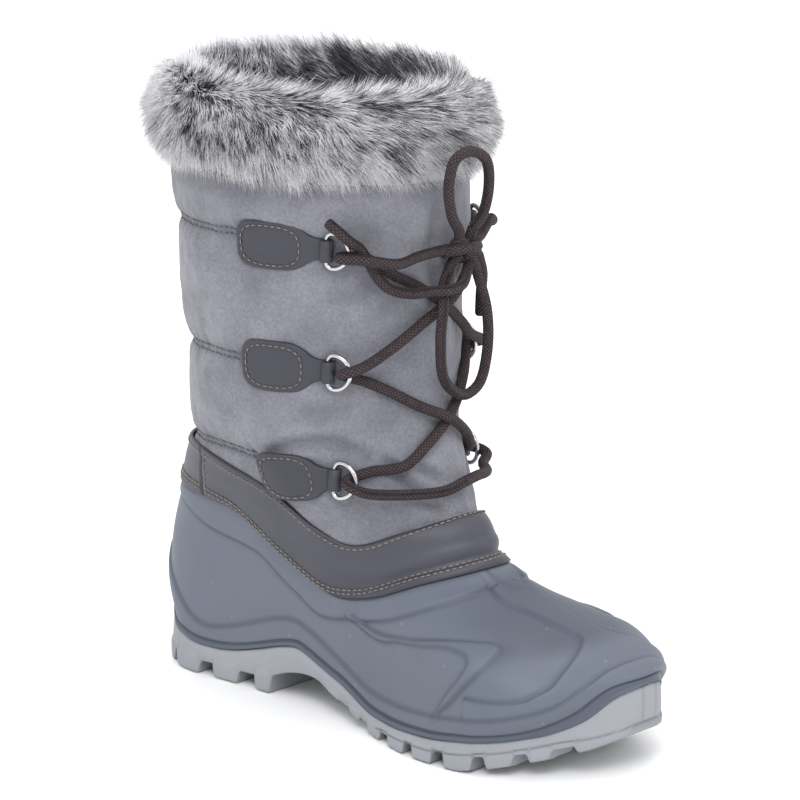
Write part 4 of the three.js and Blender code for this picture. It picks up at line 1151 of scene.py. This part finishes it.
# ---------------------------------------------------------------------------------------------
# Lace: one round braided cord, laced over and under through the six rings. The crossings lie on
# the cloth; the bow's knot, two loops and two cut ends are free.
LACE_DIAMETER = 5.0
UNDER = LACE_DIAMETER / 2 + 0.8
OVER = LACE_DIAMETER + 2.6


def cord_line(points, steps):
    """Centripetal curve through the route's points."""
    p = np.asarray(points, float)
    p = np.concatenate([[2 * p[0] - p[1]], p, [2 * p[-1] - p[-2]]])
    count = len(p) - 3
    line = []
    for u in np.linspace(0, count, steps + 1):
        i = min(int(u), count - 1)
        w = u - i
        q0, q1, q2, q3 = p[i:i + 4]
        d0, d1, d2 = (max(np.sum((b - a) ** 2) ** 0.25, 1e-4) for a, b in ((q0, q1), (q1, q2), (q2, q3)))
        t1 = ((q1 - q0) / d0 - (q2 - q0) / (d0 + d1) + (q2 - q1) / d1) * d1
        t2 = ((q2 - q1) / d1 - (q3 - q1) / (d1 + d2) + (q3 - q2) / d2) * d1
        line.append((2 * w**3 - 3 * w**2 + 1) * q1 + (w**3 - 2 * w**2 + w) * t1
                    + (3 * w**2 - 2 * w**3) * q2 + (w**3 - w**2) * t2)
    return np.array(line)


def evenly(line, pitch):
    length = np.concatenate([[0], np.cumsum(np.linalg.norm(np.diff(line, axis=0), axis=1))])
    count = int(length[-1] / pitch) + 2
    at = np.linspace(0, length[-1], count)
    return np.stack([np.interp(at, length, line[:, k]) for k in range(3)], 1), at


CORD_SIDES = 14


def cord_mesh(line, closed=False, cut_end=False):
    """Braided tube along an even line: points, faces and coordinates along and round it."""
    line, at = evenly(line, 0.8)
    if closed:
        line, at = line[:-1], at[:-1]
    run = np.gradient(line, axis=0)
    if closed:
        run = np.roll(line, -1, 0) - np.roll(line, 1, 0)
    run /= np.linalg.norm(run, axis=1, keepdims=True)
    across = np.array([0.3, 0.2, 1.0])
    frames = []
    for r in run:
        across = across - r * across.dot(r)
        across /= np.linalg.norm(across)
        frames.append((across, np.cross(r, across)))
    rings = []
    uv = []
    a = np.linspace(0, 2 * np.pi, CORD_SIDES, endpoint=False)
    for k, (spot, (one, two)) in enumerate(zip(line, frames)):
        radius = np.full(CORD_SIDES, LACE_DIAMETER / 2)
        if cut_end:
            radius *= 0.8 + 0.2 * min((at[-1] - at[k]) / 0.9, 1) ** 0.5
        rings.append(spot + np.outer(np.cos(a) * radius, one) + np.outer(np.sin(a) * radius, two))
        uv.append(np.stack([np.full(CORD_SIDES, at[k] / 10), a / (2 * np.pi)], 1))
    faces = grid_faces(len(rings), CORD_SIDES, around=True)
    last = (len(rings) - 1) * CORD_SIDES
    if closed:
        faces += [(last + k, last + (k + 1) % CORD_SIDES, (k + 1) % CORD_SIDES, k) for k in range(CORD_SIDES)]
    else:
        faces += [tuple(range(CORD_SIDES))[::-1], tuple(range(last, last + CORD_SIDES))]
    return np.concatenate(rings), faces, np.concatenate(uv)


def braid_look():
    """Braided cord: diamond plait of dark brown yarn, with painted shade in the crevices between the crowns."""
    made, tree, shader = material("braided_cord", 0.75)
    uv = node(tree, "ShaderNodeUVMap", uv_map="UVMap").outputs[0]
    parts = node(tree, "ShaderNodeSeparateXYZ", {0: uv}).outputs
    down = reckon(tree, "MULTIPLY", parts[0], 5.2)
    round_it = reckon(tree, "MULTIPLY", parts[1], 8.0)
    one = reckon(tree, "SINE", reckon(tree, "MULTIPLY", reckon(tree, "ADD", down, round_it), math.pi))
    two = reckon(tree, "SINE", reckon(tree, "MULTIPLY", reckon(tree, "SUBTRACT", down, round_it), math.pi))
    plait = reckon(tree, "MULTIPLY", reckon(tree, "ABSOLUTE", one), reckon(tree, "ABSOLUTE", two))
    yarn = placed(tree, PATCHES, {"Vector": object_spot(tree), "Scale": 500, "Spread": 0.2,
                                  "First": grey("5a4d51"), "Second": grey("42373a")})["Color"]
    # Painted shade: the crevices of the plait are mixed towards near black.
    colour = mixed(tree, reckon(tree, "POWER", plait, 0.7), grey("120f11"), yarn)
    tree.links.new(colour, shader.inputs["Base Color"])
    shader.inputs["Specular IOR Level"].default_value = 0.3
    bump(tree, shader, plait, 0.9, 0.0006)
    return made


lace_look = braid_look()


def over_shaft(rows):
    return [on_shaft(turn, z, out) for turn, z, out in rows]


RING_WALK = (
    (1, 6.5, 4.6, None, 1.8), (1, 0.6, 2.6, 1, 0), (0.7, -2.9, 1.3, 1, 0), (0, -4.3, 0, 1, 0),
    (-0.7, -2.9, -1.3, 1, 0), (-1, 0.6, -2.6, 1, 0), (-1, 6.5, -4.6, 0.9, 1.8),
)


def through_ring(side, tab, over_first, upper_first, spread=1.0, drop=0.0, rise=0.75):
    """Lace round one ring's wire, from one face to the other."""
    place = tab_frame(side, tab)
    wire_out = RING_REACH * math.sin(RING_TILT)
    wire_ahead = RING_REACH * math.cos(RING_TILT)
    bend = LACE_DIAMETER / 2 + RING_WIRE + 0.7
    drift = 1 if upper_first else -1
    sign = 1 if over_first else -1
    points = []
    for round_it, ahead, up, pull, sink in RING_WALK:
        pull = rise if pull is None else pull
        out = max((wire_out + sign * round_it * bend) * pull, -0.4) - sink
        points.append(from_bar(place, wire_ahead + ahead, drift * spread * up - drop, out))
    return points


TOP, MIDDLE, LOW = TABS
lace_upper_half = [
    (155.5, -9.2, 221.5),
    *over_shaft([(-0.3, 220.5, 8), (-0.48, 219.6, 15)]),
    *through_ring(-1, TOP, True, True, 0.2, 2.1, 1.4),
    *over_shaft([(-0.46, 212, UNDER), (-0.25, 205, UNDER), (0, 195.5, UNDER), (0.3, 183.5, UNDER), (0.5, 175.5, 5)]),
    *through_ring(1, MIDDLE, True, True),
    *over_shaft([(0.46, 157, UNDER), (0.22, 147, 3.8), (0, 138.5, 4), (-0.25, 129.5, UNDER), (-0.46, 122, UNDER)]),
    *through_ring(-1, LOW, False, True),
    *over_shaft([(-0.42, 109.5, 7), (-0.2, 110, 5), (0, 112, 5.5)]),
]
lace_lower_half = [
    *over_shaft([(-0.02, 111.8, 5.5), (0.2, 112.5, 6), (0.42, 111.5, 8)]),
    *through_ring(1, LOW, True, False),
    *over_shaft([(0.46, 124, UNDER), (0.25, 132, 5), (0, 140.5, OVER), (-0.25, 149, 5), (-0.46, 156.5, UNDER)]),
    *through_ring(-1, MIDDLE, False, False),
    *over_shaft([(-0.46, 178, 5.5), (-0.22, 188.5, 5.5), (0, 198, OVER), (0.25, 206, 5), (0.46, 213, UNDER)]),
    *through_ring(1, TOP, False, False),
    *over_shaft([(0.48, 222, 7), (0.36, 221.5, 6)]),
]


def join_parts(parts):
    points, faces, uvs, first = [], [], [], 0
    for part_points, part_faces, part_uv in parts:
        points.append(part_points)
        faces += [tuple(k + first for k in face) for face in part_faces]
        uvs.append(part_uv)
        first += len(part_points)
    return np.concatenate(points), faces, np.concatenate(uvs)


def cord_piece(name, parts, nodes):
    points, faces, uv = join_parts(parts)
    made = mesh_piece(name, in_frame(points), faces, lace_look, uv=uv)
    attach(made, "root")
    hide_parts(*nodes)
    return made


cord_piece("lace_crossings_cord", [cord_mesh(cord_line(lace_upper_half, 420)), cord_mesh(cord_line(lace_lower_half, 400))],
           ["lace_crossings"])

KNOT = np.array((156.5, 6.5, 220.5))
knot_turns = np.linspace(0, 2 * np.pi, 120)
knot_wrap = KNOT + np.stack([5.2 * np.cos(knot_turns), 9.8 * np.sin(knot_turns), 1.6 * np.cos(knot_turns)], 1)
knot_cross = KNOT + np.stack([2.2 * np.cos(knot_turns) + 0.6, 4.0 * np.sin(knot_turns) - 1.0, 4.4 * np.cos(knot_turns + 0.8)], 1)
UPPER_LOOP = [
    (159.5, 1, 230.3), (162, -7.5, 239), (164, -12.6, 253.7), (166, -11, 265), (166.8, -1.8, 268),
    (166, 10.7, 262.5), (164, 15.7, 250), (161.5, 15, 236.5), (159, 11.5, 230.3),
]
LOWER_LOOP = [
    (155.5, -1.5, 210.5), (157, -5.8, 205.5), (160.8, -10, 198), (158.5, -8.5, 181), (156, -2.8, 162),
    (155, 6.2, 153.8), (155, 15.2, 150.8), (155.3, 24.2, 155), (157, 27, 170.3), (159, 23.3, 190), (158, 15.8, 210.5),
]
NEAR_END = [
    (160, 7, 210.6), (164.2, -1.5, 206.5), (163.4, -9.5, 205), (159.8, -15.5, 204.8),
    *over_shaft([(-0.36, 204, 9.2), (-0.5, 206.8, 9.2), (-0.585, 213, 9.2), (-0.635, 219.8, 9.2), (-0.69, 226, 9.4),
                 (-0.745, 229.5, 11.2), (-0.81, 234, 10.6), (-0.87, 237.5, 8.5)]),
]
FAR_END = [(152.5, 24.2, 214.3), *over_shaft([(0.46, 205, 9.4), (0.5, 195, 9), (0.52, 184, 9)])]

KNOT_LINKS = (
    [(157.5, 5.5, 221), (158.6, 2.6, 226), UPPER_LOOP[0]],
    [UPPER_LOOP[-1], (158, 10.2, 225.5), (157, 8, 221)],
    [(157.5, 4, 219), (156, 0.6, 215), LOWER_LOOP[0]],
    [LOWER_LOOP[-1], (158, 12.6, 215.4), (157.5, 9, 219.5)],
    [(156.5, 12, 217.5), (157.6, 11, 214), NEAR_END[0]],
    [(156.5, 10, 221), (154.8, 17.5, 219), FAR_END[0]],
    [(157, 3, 221.3), (156, -3, 221.6), lace_upper_half[0]],
    [lace_lower_half[-1], tuple(KNOT + (-1.5, 12.5, 0.5)), tuple(KNOT + (0, 5, 0))],
)
knot_cords = [cord_mesh(knot_wrap, True), cord_mesh(knot_cross, True)]
knot_cords += [cord_mesh(cord_line(link, 24)) for link in KNOT_LINKS]
knot = cord_piece("lace_knot_cord", knot_cords, ["lace_knot"])

for name, route, far_end in (("lace_upper_loop", UPPER_LOOP, "object"), ("lace_lower_loop", LOWER_LOOP, "object"),
                             ("lace_near_end", NEAR_END, "bare"), ("lace_far_end", FAR_END, "bare")):
    line = cord_line(route, 200)
    piece = cord_piece(name + "_cord", [cord_mesh(line, cut_end=far_end == "bare")], [name])
    path = in_frame(line)
    length = float(np.linalg.norm(np.diff(path, axis=0), axis=1).sum())

# ---------------------------------------------------------------------------------------------
# Fur collar: a thick roll of long-pile fur sewn over the top of the shaft. The pile is dark at its
# roots and pale at its tips, combed outwards and down, and parts in clumps.
FUR = {"x": 76.0, "z": 274.5, "along": 66.5, "across": 60.5, "roll": 12.0, "half_height": 17.0}
STRAND = 0.0132


def fur_body():
    """The felted roll under the pile, with the direction its hair is combed."""
    around = np.linspace(0, 2 * np.pi, 260, endpoint=False)
    over = np.linspace(0, 2 * np.pi, 64, endpoint=False)
    turn, roll = np.meshgrid(around, over, indexing="ij")
    lump = 1 + 0.05 * seeded_waves(turn, roll * 12, 21, 8, 2, 6)
    reach = FUR["along"] + FUR["roll"] * np.cos(roll) * lump
    wide = FUR["across"] + FUR["roll"] * np.cos(roll) * lump
    points = np.stack([FUR["x"] + reach * np.cos(turn), wide * np.sin(turn),
                       FUR["z"] + FUR["half_height"] * np.sin(roll) * lump], -1)
    outward = np.stack([np.cos(turn) * np.cos(roll), np.sin(turn) * np.cos(roll), np.sin(roll)], -1)
    ring_run = np.stack([-np.sin(turn), np.cos(turn), np.zeros_like(turn)], -1)
    points[..., 2] -= 1.2 * np.cos(turn)
    swirl = seeded_waves(turn, roll * 12, 22, 7, 1.0, 3.4)
    clump = seeded_waves(turn, roll * 12, 23, 9, 5, 11)
    outside = ease(np.cos(roll), -0.5, 0.4)
    fall = np.zeros_like(points)
    fall[..., 2] = -0.62 * outside + 0.35 * (1 - outside)
    comb = outward * 0.62 + fall + ring_run * (0.72 + 0.22 * swirl + 0.16 * clump)[..., None]
    comb[..., 2] += 0.16 * seeded_waves(turn, roll * 12, 24, 9, 5, 12)
    comb /= np.linalg.norm(comb, axis=-1, keepdims=True)
    patch = 0.49 + 0.16 * seeded_waves(turn * 0.8, roll * 14, 25, 12, 3, 9)
    patch += 0.38 * seeded_waves(turn * 0.8, roll * 14, 26, 24, 14, 30)
    pale = 0.3 * ease(-np.sin(roll), 0.3, 0.95) + 0.3 * ease(-np.cos(turn), 0.1, 0.9)
    # Painted shade on the inner side of the roll; the patches are dark and pale clumps of the pile.
    shade = np.clip(patch + 0.5 * (1 - outside) * (np.sin(roll) < 0.9) - pale, 0, 1)
    rows, columns = turn.shape
    faces = grid_faces(rows, columns, around=True)
    last = (rows - 1) * columns
    faces += [(last + k, last + (k + 1) % columns, (k + 1) % columns, k) for k in range(columns)]
    return points.reshape(-1, 3), faces, comb.reshape(-1, 3), shade.ravel()


def fur_tree():
    """Hair scattered over a surface, each strand along the surface's comb direction."""
    tree = bpy.data.node_groups.new("fur_pile", "GeometryNodeTree")
    for label, kind, value in (("Geometry", "Geometry", None), ("Strand", "Object", None),
                               ("Density", "Float", 1e6), ("Length", "Float", STRAND),
                               ("Thickness", "Float", 0.0005), ("Seed", "Int", 1), ("Pile", "Material", None)):
        socket = tree.interface.new_socket(label, in_out="INPUT", socket_type="NodeSocket" + kind)
        if value is not None:
            socket.default_value = value
    tree.interface.new_socket("Geometry", in_out="OUTPUT", socket_type="NodeSocketGeometry")
    given = tree.nodes.new("NodeGroupInput").outputs
    spots = node(tree, "GeometryNodeDistributePointsOnFaces",
                 {"Mesh": given["Geometry"], "Density": given["Density"], "Seed": given["Seed"]},
                 distribute_method="RANDOM")
    comb = node(tree, "GeometryNodeInputNamedAttribute", {"Name": "comb"}, data_type="FLOAT_VECTOR")
    stray = node(tree, "FunctionNodeRandomValue", {0: (-0.28, -0.28, -0.28), 1: (0.28, 0.28, 0.28), "Seed": 5},
                 data_type="FLOAT_VECTOR")
    way = node(tree, "ShaderNodeVectorMath", {0: comb.outputs["Attribute"], 1: stray.outputs[0]}, operation="ADD")
    turned = node(tree, "FunctionNodeAlignRotationToVector", {"Vector": way.outputs[0]}, axis="Z")
    reach = node(tree, "FunctionNodeRandomValue", {2: 0.6, 3: 1.15, "Seed": 9}, data_type="FLOAT")
    long = reckon(tree, "MULTIPLY", reach.outputs[1], given["Length"])
    size = node(tree, "ShaderNodeCombineXYZ", {0: given["Thickness"], 1: given["Thickness"], 2: long})
    shape = node(tree, "GeometryNodeObjectInfo", {"Object": given["Strand"]})
    spread = node(tree, "GeometryNodeInstanceOnPoints",
                  {"Points": spots.outputs["Points"], "Instance": shape.outputs["Geometry"],
                   "Rotation": turned.outputs[0], "Scale": size.outputs[0]})
    tone = node(tree, "FunctionNodeRandomValue", {2: 0.0, 3: 1.0, "Seed": 13}, data_type="FLOAT")
    kept = node(tree, "GeometryNodeStoreNamedAttribute",
                {"Geometry": spread.outputs[0], "Name": "tone", "Value": tone.outputs[1]},
                data_type="FLOAT", domain="INSTANCE")
    real = node(tree, "GeometryNodeRealizeInstances", {"Geometry": kept.outputs[0]})
    painted = node(tree, "GeometryNodeSetMaterial", {"Geometry": real.outputs[0], "Material": given["Pile"]})
    result = tree.nodes.new("NodeGroupOutput")
    tree.links.new(painted.outputs[0], result.inputs[0])
    return tree


def strand_shape():
    """One hair, a unit high: a three-sided spike that knows how far along it each point is."""
    root = [(0.5 * math.cos(a), 0.5 * math.sin(a), 0) for a in (0, 2 * math.pi / 3, 4 * math.pi / 3)]
    faces = [(0, 1, 3), (1, 2, 3), (2, 0, 3), (2, 1, 0)]
    return mesh_piece("strand_shape", root + [(0, 0, 1)], faces, floor_look, {"tip": [0, 0, 0, 1]})


def fur_look():
    """Pile fur: charcoal roots, silver tips, in dark and pale clumps, with painted shade on the roll's inner side."""
    made, tree, shader = material("fur_pile", 0.85)
    spot = object_spot(tree)
    mottle = reckon(tree, "MULTIPLY_ADD", attribute(tree, "tone"), 0.5, reckon(tree, "SUBTRACT", attribute(tree, "shade"), 0.25))
    dark_share = node(tree, "ShaderNodeMapRange", {"Value": mottle, "From Min": 0.34, "From Max": 0.8})
    tips = mixed(tree, dark_share.outputs[0], grey("f1f0f4"), grey("434248"))
    rise = node(tree, "ShaderNodeMapRange", {"Value": attribute(tree, "tip"), "From Min": 0.04, "From Max": 0.42})
    colour = mixed(tree, rise.outputs[0], grey("2b2a30"), tips)
    tree.links.new(colour, shader.inputs["Base Color"])
    shader.inputs["Specular IOR Level"].default_value = 0.2
    grain = placed(tree, GRAIN, {"Vector": spot, "Coarse": 900, "Fine": 2500, "Fine Share": 0.5})
    bump(tree, shader, grain["Height"], 0.2, 0.0002)
    return made


FUR_LOOK = fur_look()
FUR_TREE = fur_tree()
fur_points, fur_faces, fur_comb, fur_shade = fur_body()
roll_look = plain_surface("fur_backing", "45444a", "2f2e34", 0.95, 120, 0.2, 500, 1500, 0.7, 0.8, 0.001)[0]
collar = mesh_piece("collar_fur_roll", in_frame(fur_points), fur_faces, roll_look)
weld(collar)
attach(collar, "root")
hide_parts("collar_fur")
FUR_COUNT = 46000
for name, seed, length in (("collar_pile_long", 1, STRAND), ("collar_pile_short", 2, 0.85 * STRAND)):
    pile = mesh_piece(name, in_frame(fur_points), fur_faces, FUR_LOOK, {"shade": fur_shade})
    layer = pile.data.attributes.new("comb", "FLOAT_VECTOR", "POINT")
    layer.data.foreach_set("vector", fur_comb.astype("f").ravel())
    area = sum(face.area for face in pile.data.polygons)
    hair = strand_shape()
    fill_tree(pile, FUR_TREE, {"Strand": hair, "Density": FUR_COUNT / area, "Length": length,
                               "Thickness": 0.00048, "Seed": seed, "Pile": FUR_LOOK})
    bpy.data.objects.remove(hair)
    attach(pile, "root")
